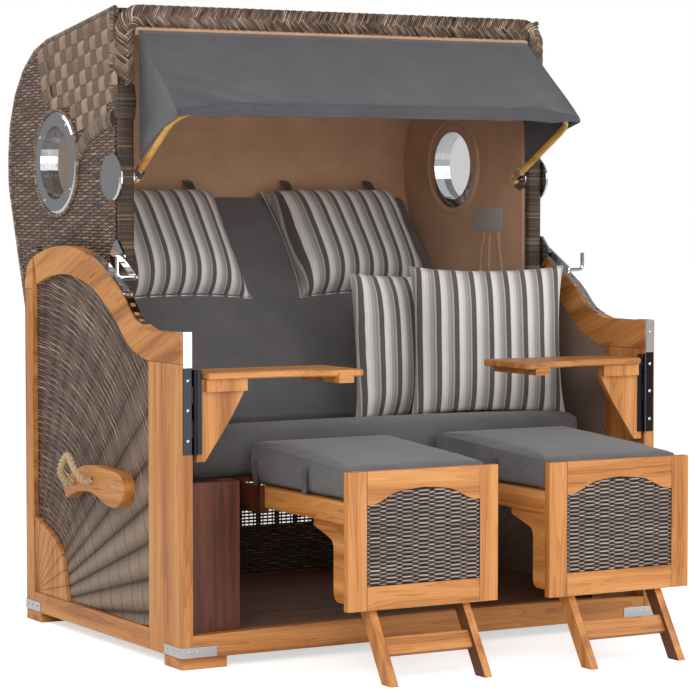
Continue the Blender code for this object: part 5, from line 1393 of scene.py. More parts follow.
@dataclass
class Hood:
    """The hood: woven shell, lining, braided rim, portholes and back."""

    wall: float = 0.628
    inside: float = 0.586
    collar_low: float = 1.305
    collar_high: float = 1.392
    post_foot: float = 0.620
    porthole: tuple[float, float] = (0.830, 1.200)
    axle: tuple[float, float] = (0.485, 1.160)
    hole_reach: float = 0.115
    axle_reach: float = 0.020

    def build(self) -> None:
        """Build the shell's skin and dress the rest."""
        self.shell()
        dress(["hood_lining"], LINING_CLOTH)
        dress(both("porthole_glass"), GLASS)
        dress(["backrest_panel"], TEAK_X)
        for stem in ("porthole_ring", "awning_pivot", "latch_plate", "latch_lever"):
            dress(both(stem), CHROME)
        self.rim()
        self.braid()
        for side in Side:
            self.blocks(side)
            self.rolls(side)
            self.porthole_trim(side)
            self.lining_seam(side)
        self.tag()
        LOG.info("hood dressed")

    def outline(self, half: float) -> list[Vector]:
        """Return the hood's side outline at a distance from the middle, without its holes.

        Args:
            half: The distance.

        Returns:
            The points as depth and rise, from the mouth's top over the roof to the bottom.
        """
        name = "hood_shell" if half > 0.61 else "hood_lining"
        centre = Vector(self.porthole)
        axle = Vector(self.axle)
        spots = set()
        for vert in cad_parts[name].data.vertices:
            spot = Vector((vert.co.y - FRONT, vert.co.z))
            if abs(abs(vert.co.x) - half) > 0.0006:
                continue
            if (spot - centre).length < self.hole_reach:
                continue
            if (spot - axle).length < self.axle_reach:
                continue
            spots.add((round(spot.x, 4), round(spot.y, 4)))
        middle = Vector((0.60, 1.0))
        ordered = sorted(spots, key=lambda p: -math.atan2(p[1] - middle.y, p[0] - middle.x))
        return [Vector(p) for p in ordered]

    def roof_line(self, half: float) -> list[Vector]:
        """Return the outline from the mouth's top to the lower back.

        Args:
            half: The distance from the middle.

        Returns:
            The points as depth and rise.
        """
        points = [p for p in self.outline(half) if p.y > 0.66]
        top = max(range(len(points)), key=lambda i: points[i].y - points[i].x * 0.3)
        points = points[top:] + points[:top]
        line = [points[0]]
        for point in points[1:]:
            if point.x > line[-1].x - 0.2 and point.x > 0.48:
                line.append(point)
        return line

    def shell(self) -> None:
        """Copy the shell with a map that runs in metres along its walls."""
        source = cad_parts["hood_shell"]
        bm = bmesh.new()
        bm.from_mesh(source.data)
        bmesh.ops.remove_doubles(bm, verts=bm.verts, dist=0.00005)
        line = self.roof_line(self.wall)
        lengths = distances(line)
        layer = bm.loops.layers.uv.new("weave")
        for face in bm.faces:
            flat = abs(face.normal.x) > 0.5
            for loop in face.loops:
                co = loop.vert.co
                if flat:
                    loop[layer].uv = (co.y, co.z)
                    continue
                spot = Vector((co.y - FRONT, co.z))
                near = min(range(len(line)), key=lambda i: (line[i] - spot).length_squared)
                loop[layer].uv = (co.x, lengths[near])
        piece = place_mesh("hood_wicker", bm, HOOD_WEAVE, "hood")
        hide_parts("hood_shell")

    def blocks(self, side: Side) -> None:
        """Lay the broad block weave over the upper front of one wall.

        Args:
            side: The side.
        """
        line = self.roof_line(self.wall)
        lengths = distances(line)

        def spot(run: float, inset: float) -> Vector:
            index = max(i for i in range(len(line) - 1) if lengths[i] <= run or i == 0)
            a, b = line[index], line[index + 1]
            way = (b - a).normalized()
            point = a + way * (run - lengths[index])
            return point + Vector((way.y, -way.x)) * inset

        bm = bmesh.new()
        layer = bm.loops.layers.uv.verify()
        cell, fine, margin = 0.037, 6, 0.02
        centre = Vector(self.porthole)
        for row in range(7):
            for column in range(13):
                corner = spot((column + 0.5) * cell + 0.008, (row + 0.5) * cell + 0.006)
                below = 1.335 - (corner.x - 0.485) * 0.30
                if (corner - centre).length < 0.150 or corner.y < below:
                    continue
                over = (row + column) % 2 == 0
                verts = []
                for v in range(fine + 1):
                    strip = []
                    for u in range(fine + 1):
                        fu, fv = u / fine, v / fine
                        point = spot((column + fu) * cell + 0.008, (row + fv) * cell + 0.006)
                        bulge = math.sin(math.pi * fu) if over else math.sin(math.pi * fv)
                        ends = math.sin(math.pi * fv) ** 0.35 if over else 1.0
                        base, tall = (0.0016, 0.0070) if over else (0.0006, 0.0030)
                        lift = base + tall * max(bulge, 0.0) ** 0.7 * ends
                        strip.append(bm.verts.new((side.value * (self.wall + lift),
                                                   FRONT + point.x, point.y)))
                    verts.append(strip)
                join_rows(bm, verts, layer=layer, place=lambda v, u: (
                    column + margin + (1.0 - 2.0 * margin) * u / fine,
                    row + margin + (1.0 - 2.0 * margin) * v / fine))
        piece = place_mesh(f"block_weave_{side.tag}", bm, BLOCK_WEAVE, "hood", smooth=True)

    def rolls(self, side: Side) -> None:
        """Add the wrapped rolls: along the roof's edge, down the front and to the porthole.

        Args:
            side: The side.
        """
        sign = side.value
        bm = bmesh.new()
        edge = [at(sign * (self.wall - 0.002), p.x, p.y) for p in self.roof_line(self.wall)]
        tube(bm, edge, 0.0065, 0.0065, 10)
        front = [at(sign * (self.wall + 0.001), 0.481, 1.572 - 0.02 * i) for i in range(11)]
        tube(bm, front, 0.0085, 0.0085, 10)
        bend = curve([at(sign * self.wall, *p) for p in ((0.480, 1.306), (0.540, 1.298),
                                                         (0.610, 1.276), (0.660, 1.248),
                                                         (0.693, 1.222))])
        tube(bm, bend, 0.021, 0.010, 14)
        hoop = [at(sign * (self.wall + 0.002), self.porthole[0] + 0.138 * c,
                   self.porthole[1] + 0.138 * s) for c, s in spokes(48)]
        tube(bm, hoop, 0.0052, 0.0052, 8, closed=True)
        piece = place_mesh(f"edge_rolls_{side.tag}", bm, ROLL_WRAP, "hood", smooth=True)

    def porthole_trim(self, side: Side) -> None:
        """Add the inner flange with its screws and the padded ring round it.

        Args:
            side: The side.
        """
        sign = side.value
        centre = at(sign * (self.inside - 0.0004), *self.porthole)
        inward = -RIGHTWARD * sign
        bm = bmesh.new()
        lathe(bm, centre, inward, ((0.1030, 0.0), (0.1190, 0.0), (0.1190, 0.0018),
                                   (0.1160, 0.0036), (0.1080, 0.0044), (0.1030, 0.0050),
                                   (0.1030, 0.0)), 56)
        outer = at(sign * (self.wall + 0.0063), *self.porthole)
        for turn in range(4):
            angle = math.radians(35.0 + 90.0 * turn)
            spoke = Vector((0.0, math.cos(angle), math.sin(angle)))
            screw(bm, centre + spoke * 0.1125 + inward * 0.0030, inward, 0.0040)
            screw(bm, outer + spoke * 0.1180, RIGHTWARD * sign, 0.0042)
        piece = place_mesh(f"porthole_flange_{side.tag}", bm, CHROME, "hood", smooth=True)
        bm = bmesh.new()
        lathe(bm, centre, inward, ((0.1200, 0.0), (0.1202, 0.0050), (0.1250, 0.0080),
                                   (0.1310, 0.0082), (0.1360, 0.0050), (0.1375, 0.0),
                                   (0.1200, 0.0)), 56)
        piece = place_mesh(f"porthole_padding_{side.tag}", bm, LINING_CLOTH, "hood", smooth=True)

    def lining_seam(self, side: Side) -> None:
        """Sew a piping where the lining's wall meets its back.

        Args:
            side: The side.
        """
        points = [p for p in self.roof_line(self.inside) if p.x > 0.75]
        path = [at(side.value * (self.inside - 0.0015), p.x, p.y) for p in points]
        bm = bmesh.new()
        tube(bm, path, 0.0026, 0.0026, 8)
        wall = side.value * (self.inside - 0.0008)
        mouth = [at(wall, 0.474, 1.50 - 0.04 * i) for i in range(20)]
        tube(bm, mouth, 0.0024, 0.0024, 8)
        piece = place_mesh(f"lining_piping_{side.tag}", bm, LINING_CLOTH, "hood", smooth=True)

    def tag(self) -> None:
        """Sew the bare tag on the right wall, with the gathers under it."""
        bm = bmesh.new()
        block(bm, at(self.inside - 0.0022, 0.575, 1.018), at(self.inside - 0.0006, 0.722, 1.082),
              0.0006)
        piece = place_mesh("bare_tag", bm, TAG_CLOTH, "hood", smooth=True)
        bm = bmesh.new()
        for depth, lean in ((0.598, -0.010), (0.640, 0.0), (0.668, 0.008)):
            path = curve([at(self.inside - 0.0005, depth, 1.012),
                          at(self.inside - 0.0030, depth + lean, 0.972),
                          at(self.inside - 0.0030, depth + lean * 2.0, 0.925),
                          at(self.inside - 0.0005, depth + lean * 2.4, 0.880)])
            tube(bm, path, 0.0075, 0.0035, 10)
        piece = place_mesh("lining_gathers", bm, LINING_CLOTH, "hood", smooth=True)

    def rim(self) -> None:
        """Replace the rim's block with its core, wrapped posts and collars."""
        path = self.rim_path()
        bm = bmesh.new()
        steps, sides, inset = 150, 18, 0.0022
        rings = [[bm.verts.new(path.point(path.length * step / steps, 2.0 * math.pi * turn / sides,
                                          -inset)) for turn in range(sides)]
                 for step in range(steps + 1)]
        join_rows(bm, rings, ring=True, capped=True)
        piece = place_mesh("rim_core", bm, BAND, "hood", smooth=True)
        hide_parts("hood_rim")
        bm = bmesh.new()
        wrap, square = 0.0042, 0.6
        for sign in (-1.0, 1.0):
            rows = int((self.collar_high - self.post_foot) / (wrap * 0.5))
            rings = []
            for row in range(rows + 1):
                rise = self.post_foot + (self.collar_high - self.post_foot) * row / rows
                share = (rise - self.collar_low) / (self.collar_high - self.collar_low)
                ridge = 0.0005 * math.sin(2.0 * math.pi * rise / wrap)
                wide, deep = 0.0208 + ridge, 0.0128 + ridge
                if share > 0.0:
                    swell = math.sin(math.pi * min(0.06 + share * 0.94, 1.0)) ** 0.45
                    ridge = 0.0008 * math.sin(math.pi * rise / wrap)
                    wide += 0.0055 * swell + ridge
                    deep += 0.0070 * swell + ridge
                rings.append([bm.verts.new((
                    sign * path.half + wide * math.copysign(abs(c) ** square, c),
                    path.depth - 0.002 + deep * math.copysign(abs(s) ** square, s), rise))
                    for c, s in spokes(20)])
            join_rows(bm, rings, ring=True, capped=True)
        piece = place_mesh("wrapped_posts", bm, BAND, "hood", smooth=True)
        low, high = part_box("hood_rim")
        bm = bmesh.new()
        block(bm, Vector((-self.inside + 0.004, low.y + 0.002, 1.5125)),
              Vector((self.inside - 0.004, high.y, 1.535)), 0.001)
        piece = place_mesh("rim_lining_strip", bm, LINING_CLOTH, "hood")

    def braid(self) -> None:
        """Lay the braid round the rim's top: bundles that slant to a middle line."""
        path = self.rim_path()
        bm = bmesh.new()
        layer = bm.loops.layers.uv.new("strand")
        pitch = 0.0236
        count = int(path.length / pitch)
        for index in range(count):
            for way in (1.0, -1.0):
                self.bundle(bm, layer, path, (index + 0.25 * way + 0.3) * pitch, way, pitch)
        piece = place_mesh("rim_braid", bm, BRAID, "hood", smooth=True)

    def rim_path(self) -> "RimPath":
        """Return the middle line of the braided part of the rim."""
        low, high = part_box("hood_rim")
        return RimPath(high.x - 0.0215, high.z - 0.0285, self.collar_high - 0.008,
                       (low.y + high.y) * 0.5 + 0.002)

    def bundle(self, bm: Shape, layer: object, path: "RimPath", start: float,
               way: float, pitch: float) -> None:
        """Add one bundle of strands, from the middle line over one edge of the rim.

        Args:
            bm: The braid's mesh.
            layer: Its map.
            path: The rim's middle line.
            start: Where the bundle leaves the middle line.
            way: One towards the outer edge, minus one towards the inner edge.
            pitch: The distance between bundles.
        """
        steps, strands, fine, lean = 9, 4, 3, 0.036
        across = strands * fine
        reach = math.radians(215.0 if way > 0.0 else 130.0)
        rows = []
        for step in range(steps + 1):
            share = step / steps
            angle = way * (share * reach - math.radians(20.0))
            middle = start + lean * min(share * 1.9, 1.0)
            tuck = 0.0042 * math.sin(math.pi * min(1.0, share * 1.5 + 0.10)) ** 0.8
            line = []
            for column in range(across + 1):
                side = column / across - 0.5
                bulge = 1.0 - (2.0 * side) ** 2
                strand = abs(math.sin(math.pi * strands * column / across))
                place = middle + side * pitch * 1.12
                out = tuck + 0.0022 * bulge + 0.0016 * strand
                line.append(bm.verts.new(path.point(place, angle, out)))
            rows.append(line)
        join_rows(bm, rows, layer=layer, place=lambda step, column: (
            column / across + start * 40.0 // 1, step / steps + start * 7.0))


@dataclass
class RimPath:
    """The middle line of the braid: up one side, over the top and down the other."""

    half: float
    top: float
    foot: float
    depth: float
    corner: float = 0.038
    thick: float = 0.0185
    tall_top: float = 0.0275
    tall_side: float = 0.0215

    @property
    def length(self) -> float:
        """Return the path's length."""
        return 2.0 * (self.top - self.corner - self.foot) + 2.0 * (self.half - self.corner) \
            + math.pi * self.corner

    def place(self, s: float) -> tuple[Vector, Vector, float]:
        """Return a point of the path, the way out from the mouth there, and the top's share.

        Args:
            s: The distance along the path.

        Returns:
            The point, the outward direction and one on the top, zero on the sides.
        """
        rise = self.top - self.corner - self.foot
        level = 2.0 * (self.half - self.corner)
        arc = math.pi * 0.5 * self.corner
        if s < rise:
            return Vector((-self.half, self.depth, self.foot + s)), -RIGHTWARD, 0.0
        s -= rise
        if s < arc:
            angle = s / self.corner
            out = Vector((-math.cos(angle), 0.0, math.sin(angle)))
            centre = Vector((-self.half + self.corner, self.depth, self.top - self.corner))
            return centre + out * self.corner, out, s / arc
        s -= arc
        if s < level:
            return (Vector((-self.half + self.corner + s, self.depth, self.top)),
                    UPWARD, 1.0)
        s -= level
        if s < arc:
            angle = s / self.corner
            out = Vector((math.sin(angle), 0.0, math.cos(angle)))
            centre = Vector((self.half - self.corner, self.depth, self.top - self.corner))
            return centre + out * self.corner, out, 1.0 - s / arc
        s -= arc
        return (Vector((self.half, self.depth, self.top - self.corner - s)),
                RIGHTWARD, 0.0)

    def point(self, s: float, angle: float, out: float) -> Vector:
        """Return a point on the braid's surface.

        Args:
            s: The distance along the path.
            angle: The angle round the section, from the front, towards the outer edge.
            out: The distance out from the section's oval.

        Returns:
            The point.
        """
        centre, away, share = self.place(max(0.0, min(s, self.length)))
        tall = self.tall_side + (self.tall_top - self.tall_side) * share
        front = -REARWARD
        return (centre + front * (self.thick - 0.002 + out) * math.cos(angle)
                + away * (tall + out) * math.sin(angle))


@dataclass
class Pads:
    """The grey cushions, the striped pillows and their straps."""

    lean: float = math.radians(51.0)
    foot: tuple[float, float] = (0.580, 0.525)
    neck_rise: float = 0.582
    neck_size: tuple[float, float] = (0.420, 0.365)
    neck_places: tuple[float, float] = (-0.2742, 0.3047)
    square_size: tuple[float, float] = (0.405, 0.385)
    square_lean: float = math.radians(85.0)
    waist: tuple[float, float] = (0.060, 0.065)
    ear: float = 0.020
    fullness: float = 0.52
    crease: float = 0.0034
    crease_reach: float = 0.16

    def build(self) -> None:
        """Build every cushion and pillow."""
        self.seat()
        self.back()
        for side in Side:
            self.footrest(side)
            self.neck_pillow(side)
            self.square_pillow(side)
        self.pillow_straps()
        LOG.info("pads built")

    def on_back(self, x: float, rise: float, behind: float) -> Vector:
        """Return a point of the leaning back.

        Args:
            x: The distance from the middle.
            rise: The distance up the back's face.
            behind: The distance behind it.

        Returns:
            The point.
        """
        c, n = math.cos(self.lean), math.sin(self.lean)
        return at(x, self.foot[0] + c * rise + n * behind, self.foot[1] + n * rise - c * behind)

    def from_node(self, name: str, piece_name: str, body: str, voxel: float,
                  cap: float) -> Piece:
        """Swell a cushion from its CAD solid.

        Args:
            name: The CAD node.
            piece_name: The new piece's name.
            body: The body that it moves with.
            voxel: The size of its mesh's squares.
            cap: The furthest that it may swell.

        Returns:
            The cushion.
        """
        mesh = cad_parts[name].data.copy()
        item = add(piece_name, mesh)
        bm = bmesh.new()
        bm.from_mesh(mesh)
        bmesh.ops.remove_doubles(bm, verts=bm.verts, dist=0.00005)
        bm.to_mesh(mesh)
        bm.free()
        mesh.materials.clear()
        mesh.materials.append(GREY_CLOTH)
        remesh = item.modifiers.new("even mesh", "REMESH")
        remesh.mode = "VOXEL"
        remesh.voxel_size = voxel
        remesh.use_smooth_shade = True
        apply_modifiers(item)
        for vert in item.data.vertices:
            vert.co -= vert.normal * 0.004
        swell(item, cap)
        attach(item, body)
        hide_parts(name)
        return item

    def seat(self) -> None:
        """Build the seat cushion."""
        piece = self.from_node("seat_cushion", "seat_pad", "base", 0.013, 0.010)
        welt(piece, self.loop("seat_cushion", 0.011), -UPWARD)

    def back(self) -> None:
        """Build the back cushion."""
        piece = self.from_node("back_cushion", "back_pad", "hood", 0.016, 0.010)
        behind = Vector((0.0, math.sin(self.lean), -math.cos(self.lean)))
        path = [self.on_back(-0.574 + 0.0164 * i, 0.772, -0.100) for i in range(71)]
        welt(piece, path, behind)

    def loop(self, name: str, inset: float) -> list[Vector]:
        """Return a rounded loop over a cushion's top edge.

        Args:
            name: The CAD node.
            inset: How far it runs inside the cushion's sides.

        Returns:
            The loop's points, above the cushion.
        """
        low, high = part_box(name)
        low, high = low + Vector((inset, inset, 0.0)), high - Vector((inset, inset, 0.0))
        round_off = 0.016
        made = []
        for corner, turn in (((high.x, high.y), 0), ((low.x, high.y), 1), ((low.x, low.y), 2),
                             ((high.x, low.y), 3)):
            inside = Vector((corner[0] + (-round_off if corner[0] == high.x else round_off),
                             corner[1] + (-round_off if corner[1] == high.y else round_off),
                             high.z + 0.05))
            for step in range(5):
                angle = math.radians(90.0 * turn + 22.5 * step)
                made.append(inside + Vector((math.cos(angle), math.sin(angle), 0.0)) * round_off)
        fine = []
        for a, b in zip(made, made[1:] + made[:1]):
            count = max(1, int((b - a).length / 0.012))
            fine += [a.lerp(b, step / count) for step in range(count)]
        return fine

    def footrest(self, side: Side) -> None:
        """Build a footrest's cushion with its seam and its straps.

        Args:
            side: The side.
        """
        name = f"footrest_cushion_{side.tag}"
        low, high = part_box(name)
        piece = self.from_node(name, f"stool_pad_{side.tag}", "base", 0.008, 0.006)
        welt(piece, self.loop(name, 0.014), -UPWARD)
        bm = bmesh.new()
        for x in (low.x - 0.0012, high.x + 0.0012):
            for depth in (-0.145, 0.100):
                path = [at(x, depth, 0.4165 + 0.0088 * i) for i in range(8)]
                ribbon(bm, path, REARWARD, 0.020, 0.0015)
        straps = place_mesh(f"stool_straps_{side.tag}", bm, STRAP_CLOTH, "base")
        for item in (piece, straps):
            f"footrest_slide_{side.tag}"
            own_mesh(item)

    def neck_pillow(self, side: Side) -> None:
        """Lay a striped pillow on the leaning back.

        Args:
            side: The side.
        """
        x = self.neck_places[0 if side is Side.LEFT else 1]
        place = Matrix.Translation(self.on_back(x, self.neck_rise, -0.0056)) \
            @ Matrix.Rotation(self.lean, 4, "X")
        self.pillow(f"neck_pillow_{side.tag}", self.neck_size, (0.094, 0.004), place, "hood",
                    11 + 5 * (x > 0.0))

    def square_pillow(self, side: Side) -> None:
        """Stand a striped pillow on the seat.

        Args:
            side: The side.
        """
        name = f"square_pillow_{side.tag}"
        low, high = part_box(name)
        turn = math.radians(-20.0) if side is Side.RIGHT else 0.0
        place = Matrix.Translation((low + high) * 0.5) @ Matrix.Rotation(turn, 4, "Z") \
            @ Matrix.Rotation(self.square_lean, 4, "X")
        self.pillow(name, self.square_size, (0.0580, 0.0580), place, "base",
                    23 + 7 * (side is Side.RIGHT))

    def pillow(self, name: str, size: tuple[float, float], crown: tuple[float, float],
               place: Matrix, body: str, seed: int) -> None:
        """Build one striped pillow: two panels sewn round the edge, then filled.

        Args:
            name: The CAD node.
            size: Its width and height.
            crown: How far it stands out in front and behind.
            place: Its place and turn.
            body: The body that it moves with.
            seed: The number that its creases come from.
        """
        draw = random.Random(seed)
        waves = [(draw.uniform(5.0, 9.0), draw.uniform(0.0, 6.3)) for _ in range(4)]
        columns, rows = 52, 46
        bm = bmesh.new()
        edge: dict[tuple[int, int], bmesh.types.BMVert] = {}
        seam: list[Vector] = []
        for layer, (depth, way) in enumerate(((crown[0], 1.0), (crown[1], -1.0))):
            grid = []
            for row in range(rows + 1):
                v = -1.0 + 2.0 * row / rows
                line = []
                for column in range(columns + 1):
                    u = -1.0 + 2.0 * column / columns
                    border = row in (0, rows) or column in (0, columns)
                    if border and layer:
                        line.append(edge[(row, column)])
                        continue
                    pinch_x = 1.0 - self.waist[0] * (1.0 - v * v) + self.ear * (u * v) ** 6
                    pinch_y = 1.0 - self.waist[1] * (1.0 - u * u) + self.ear * (u * v) ** 6
                    body_part = max(0.0, (1.0 - u ** 4) * (1.0 - v ** 4))
                    level = depth * body_part ** self.fullness
                    top = math.exp(-(1.0 - abs(v)) / self.crease_reach)
                    flank = math.exp(-(1.0 - abs(u)) / self.crease_reach)
                    crease = top * math.sin(waves[0][0] * 2.2 * u + waves[0][1]) \
                        + flank * math.sin(waves[1][0] * 2.0 * v + waves[1][1]) \
                        + 0.5 * math.sin(waves[2][0] * 0.55 * u + waves[3][0] * 0.45 * v
                                         + waves[2][1])
                    share = 1.0 if depth > 0.02 else 0.2
                    level += self.crease * crease * body_part ** 0.6 * share
                    vert = bm.verts.new((u * size[0] * 0.5 * pinch_x, v * size[1] * 0.5 * pinch_y,
                                         way * level * (0.0 if border else 1.0)))
                    if border:
                        edge[(row, column)] = vert
                    line.append(vert)
                grid.append(line)
            if not layer:
                ring = grid[0][:-1] + [line[-1] for line in grid[:-1]] + grid[-1][:0:-1] \
                    + [line[0] for line in grid[:0:-1]]
                seam = [vert.co.copy() for vert in ring]
            join_rows(bm, grid)
        piece = place_mesh(name.replace("_pillow", "_scatter"), bm, STRIPES, None, smooth=True)
        swell(piece, 0.006 if crown[1] > 0.02 else 0.003)
        bm = bmesh.new()
        tube(bm, seam, 0.0022, 0.0018, 6, closed=True)
        merge(piece, bm)
        marks = piece.data.uv_layers.active or piece.data.uv_layers.new(name="cloth")
        for loop in piece.data.loops:
            co = piece.data.vertices[loop.vertex_index].co
            marks.data[loop.index].uv = (co.x + 0.5, co.y + 0.5)
        piece.data.transform(place)
        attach(piece, body)
        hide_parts(name)

    def pillow_straps(self) -> None:
        """Lay the straps that hold the neck pillows over the back cushion's top."""
        bm = bmesh.new()
        for x in (-0.360, -0.120, 0.185, 0.455):
            keys = ((0.745, -0.0070), (0.775, -0.0060), (0.803, -0.0030), (0.822, 0.0080))
            path = curve([self.on_back(x, rise, behind) for rise, behind in keys], 4)
            ribbon(bm, path, RIGHTWARD, 0.022, 0.0018)
        piece = place_mesh("neck_straps", bm, STRAP_CLOTH, "hood")


def welt(item: Piece, path: Sequence[Vector], way: Vector, radius: float = 0.0017) -> None:
    """Sew a piping onto a cushion where rays from a path meet it.

    Args:
        item: The cushion, which gains the piping.
        path: Points off the cushion.
        way: The rays' direction.
        radius: The piping's radius.
    """
    tree = BVHTree.FromPolygons([v.co for v in item.data.vertices],
                                [p.vertices for p in item.data.polygons])
    spots = [tree.ray_cast(point, way)[0] for point in path]
    spots = [spot for spot in spots if spot is not None]
    if len(spots) < 4:
        LOG.info("no place for a piping on %s", item.name)
        return
    bm = bmesh.new()
    tube(bm, spots, radius, radius, 7, closed=(path[0] - path[-1]).length < 0.03)
    merge(item, bm)


def swell(item: Piece, cap: float) -> None:
    """Fill a closed solid with air in a short cloth simulation.

    Args:
        item: The solid, which keeps its place.
        cap: The furthest that a point may move.
    """
    scene = bpy.context.scene
    bpy.context.view_layer.objects.active = item
    before = [v.co.copy() for v in item.data.vertices]
    step = item.modifiers.new("cloth", "CLOTH")
    step.settings.use_pressure = True
    step.settings.uniform_pressure_force = 4.0
    step.settings.effector_weights.gravity = 0.0
    step.settings.quality = 4
    step.point_cache.frame_start = 1
    step.point_cache.frame_end = 20
    for number in range(1, 13):
        scene.frame_set(number)
    apply_modifiers(item)
    scene.frame_set(1)
    for vert, first in zip(item.data.vertices, before):
        move = vert.co - first
        if move.length > cap:
            vert.co = first + move.normalized() * cap
    smooth = item.modifiers.new("finer", "SUBSURF")
    smooth.levels = 1
    smooth.render_levels = 1
    apply_modifiers(item)
    item.data.shade_smooth()
    LOG.info("swelled %s", item.name)


def apply_modifiers(item: Piece) -> None:
    """Apply every modifier of an object to its mesh.

    Args:
        item: The object.
    """
    graph = bpy.context.evaluated_depsgraph_get()
    graph.update()
    shaped = bpy.data.meshes.new_from_object(item.evaluated_get(graph))
    old = item.data
    item.modifiers.clear()
    item.data = shaped
    bpy.data.meshes.remove(old)


@dataclass
class Awning:
    """The awning: cloth sheet over its bow, with side gussets."""

    columns: int = 96
    rows: int = 22
    rear: tuple[float, float] = (0.4425, 1.5235)
    front: float = 0.2052
    crest: float = 1.3385
    half_rear: float = 0.575
    half_front: float = 0.584
    rear_foot: float = 1.200
    pivot: tuple[float, float] = (0.485, 1.160)
    stitch: float = 0.64
    sag: float = 0.0085
    crease: float = 0.0060
    tip_drop: float = 0.022
    hem_tall: float = 0.031
    hem_tip: float = 0.010

    def build(self) -> None:
        """Build the cloth and dress the bow."""
        dress(["awning_bow"], BOW_WOOD)
        self.cloth()
        for side in Side:
            self.ferrule(side)
        LOG.info("awning built")

    def droop(self, u: float) -> float:
        """Return how far the cloth's front edge hangs at a place across.

        Args:
            u: The place, minus one at the left tip and one at the right tip.

        Returns:
            The drop.
        """
        share = max(0.0, (abs(u) - 0.80) / 0.20)
        return self.tip_drop * share * share * (3.0 - 2.0 * share)

    def top(self, u: float, share: float) -> Vector:
        """Return a point of the roof.

        Args:
            u: The place across.
            share: Zero at the rim, one at the front edge.

        Returns:
            The point.
        """
        half = self.half_rear + (self.half_front - self.half_rear) * share
        sag = self.sag * math.sin(math.pi * share) * (1.0 - 0.25 * u * u)
        depth = self.rear[0] + (self.front - self.rear[0]) * share
        rise = self.rear[1] + (self.crest - self.rear[1]) * share - sag
        rise -= self.droop(u) * share ** 3
        across = (1.0 - abs(u)) * self.half_front
        down = 1.0 - share
        crease = self.crease * math.exp(-across / 0.12) * math.exp(-down / 0.35) \
            * math.sin(2.0 * math.pi * (4.2 * down + 7.0 * across)) * min(across / 0.02, 1.0)
        pull = 0.0016 * math.sin(9.0 * u + 5.0 * share) * math.sin(math.pi * share)
        return at(u * half, depth, rise + crease + pull)

    def hem(self, u: float, share: float) -> Vector:
        """Return a point of the hem that hangs in front of the bow.

        Args:
            u: The place across.
            share: Zero at the front edge, one at the hem's bottom.

        Returns:
            The point.
        """
        edge = self.top(u, 1.0)
        tip = max(0.0, (abs(u) - 0.84) / 0.16)
        tall = self.hem_tall * (1.0 - tip) + self.hem_tip * tip
        wave = 0.0009 * math.sin(37.0 * u) + 0.0007 * math.sin(61.0 * u + 1.0)
        bow_out = 0.0050 * math.sin(math.pi * min(share * 1.4, 1.0) * 0.5) + wave * share
        return edge + Vector((0.0, -bow_out, -tall * share))

    def cloth(self) -> None:
        """Build the cloth as one curved sheet: roof, hem and both gussets."""
        bm = bmesh.new()
        rows = []
        for step in range(self.rows + 1):
            rows.append([bm.verts.new(self.top(self.across(c), step / self.rows))
                         for c in range(self.columns + 1)])
        for share in (0.06, 0.16, 0.45, 0.60, self.stitch, 0.68, 0.85, 1.0):
            line = [bm.verts.new(self.hem(self.across(c), share)) for c in range(self.columns + 1)]
            if share == self.stitch:
                for vert in line:
                    vert.co.y += 0.0011
            rows.append(line)
        join_rows(bm, rows)
        seams = []
        count = 14
        for end, sign in ((0, -1.0), (self.columns, 1.0)):
            spine = [row[end] for row in rows[: self.rows + 1]]
            seams.append([vert.co.copy() for vert in spine])
            tip = rows[-1][end].co.copy()
            lines = [spine]
            for step in range(1, count + 1):
                share = step / count
                line = []
                for index, vert in enumerate(spine):
                    t = index / self.rows
                    place = vert.co.lerp(self.foot(sign, t, tip), share)
                    belly = math.sin(math.pi * share) * math.sin(math.pi * t)
                    place.x -= sign * belly * (0.009 + 0.0016 * math.sin(9.0 * share + 7.0 * t))
                    line.append(bm.verts.new(place))
                lines.append(line)
            join_rows(bm, lines)
        piece = place_mesh("awning_cloth", bm, AWNING_CLOTH, None, smooth=True)
        thick = piece.modifiers.new("cloth thickness", "SOLIDIFY")
        thick.thickness = 0.0016
        thick.offset = 0.0
        apply_modifiers(piece)
        piece.data.shade_smooth()
        seams.append([self.top(self.across(c), 1.0) + Vector((0.0, -0.0012, 0.0006))
                      for c in range(self.columns + 1)])
        for seam in seams:
            bm = bmesh.new()
            tube(bm, seam, 0.0017, 0.0017, 7)
            merge(piece, bm)
        front = at(0.0, self.front, self.crest)
        rear = at(0.0, *self.rear)
        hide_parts("canopy")
        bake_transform(piece)

    def across(self, column: int) -> float:
        """Return the place across of a column."""
        return 2.0 * column / self.columns - 1.0

    def foot(self, sign: float, t: float, tip: Vector) -> Vector:
        """Return a point of a gusset's free edge: down the rim, then up along the arm to the tip.

        Args:
            sign: The side's sign.
            t: Zero at the rim's top, one at the tip.
            tip: The tip.

        Returns:
            The point.
        """
        corner = at(sign * 0.5735, 0.4444, self.rear_foot)
        if t < 0.30:
            start = at(sign * 0.5745, self.rear[0], self.rear[1])
            return start.lerp(corner, t / 0.30)
        share = (t - 0.30) / 0.70
        place = corner.lerp(tip, share)
        sink = 0.012 * math.sin(math.pi * share)
        return place + Vector((0.0, sink * 0.5, sink * 0.85))

    def ferrule(self, side: Side) -> None:
        """Sleeve the bow's end by the pivot.

        Args:
            side: The side.
        """
        along = Vector((0.0, -0.860, 0.510))
        start = at(side.value * 0.565, *self.pivot)
        bm = bmesh.new()
        path = [start + along * reach for reach in (0.012, 0.020, 0.038)]
        ribbon(bm, path, Vector((0.0, 0.510, 0.860)), 0.0226, 0.0142)
        piece = place_mesh(f"bow_ferrule_{side.tag}", bm, CHROME, "awning")


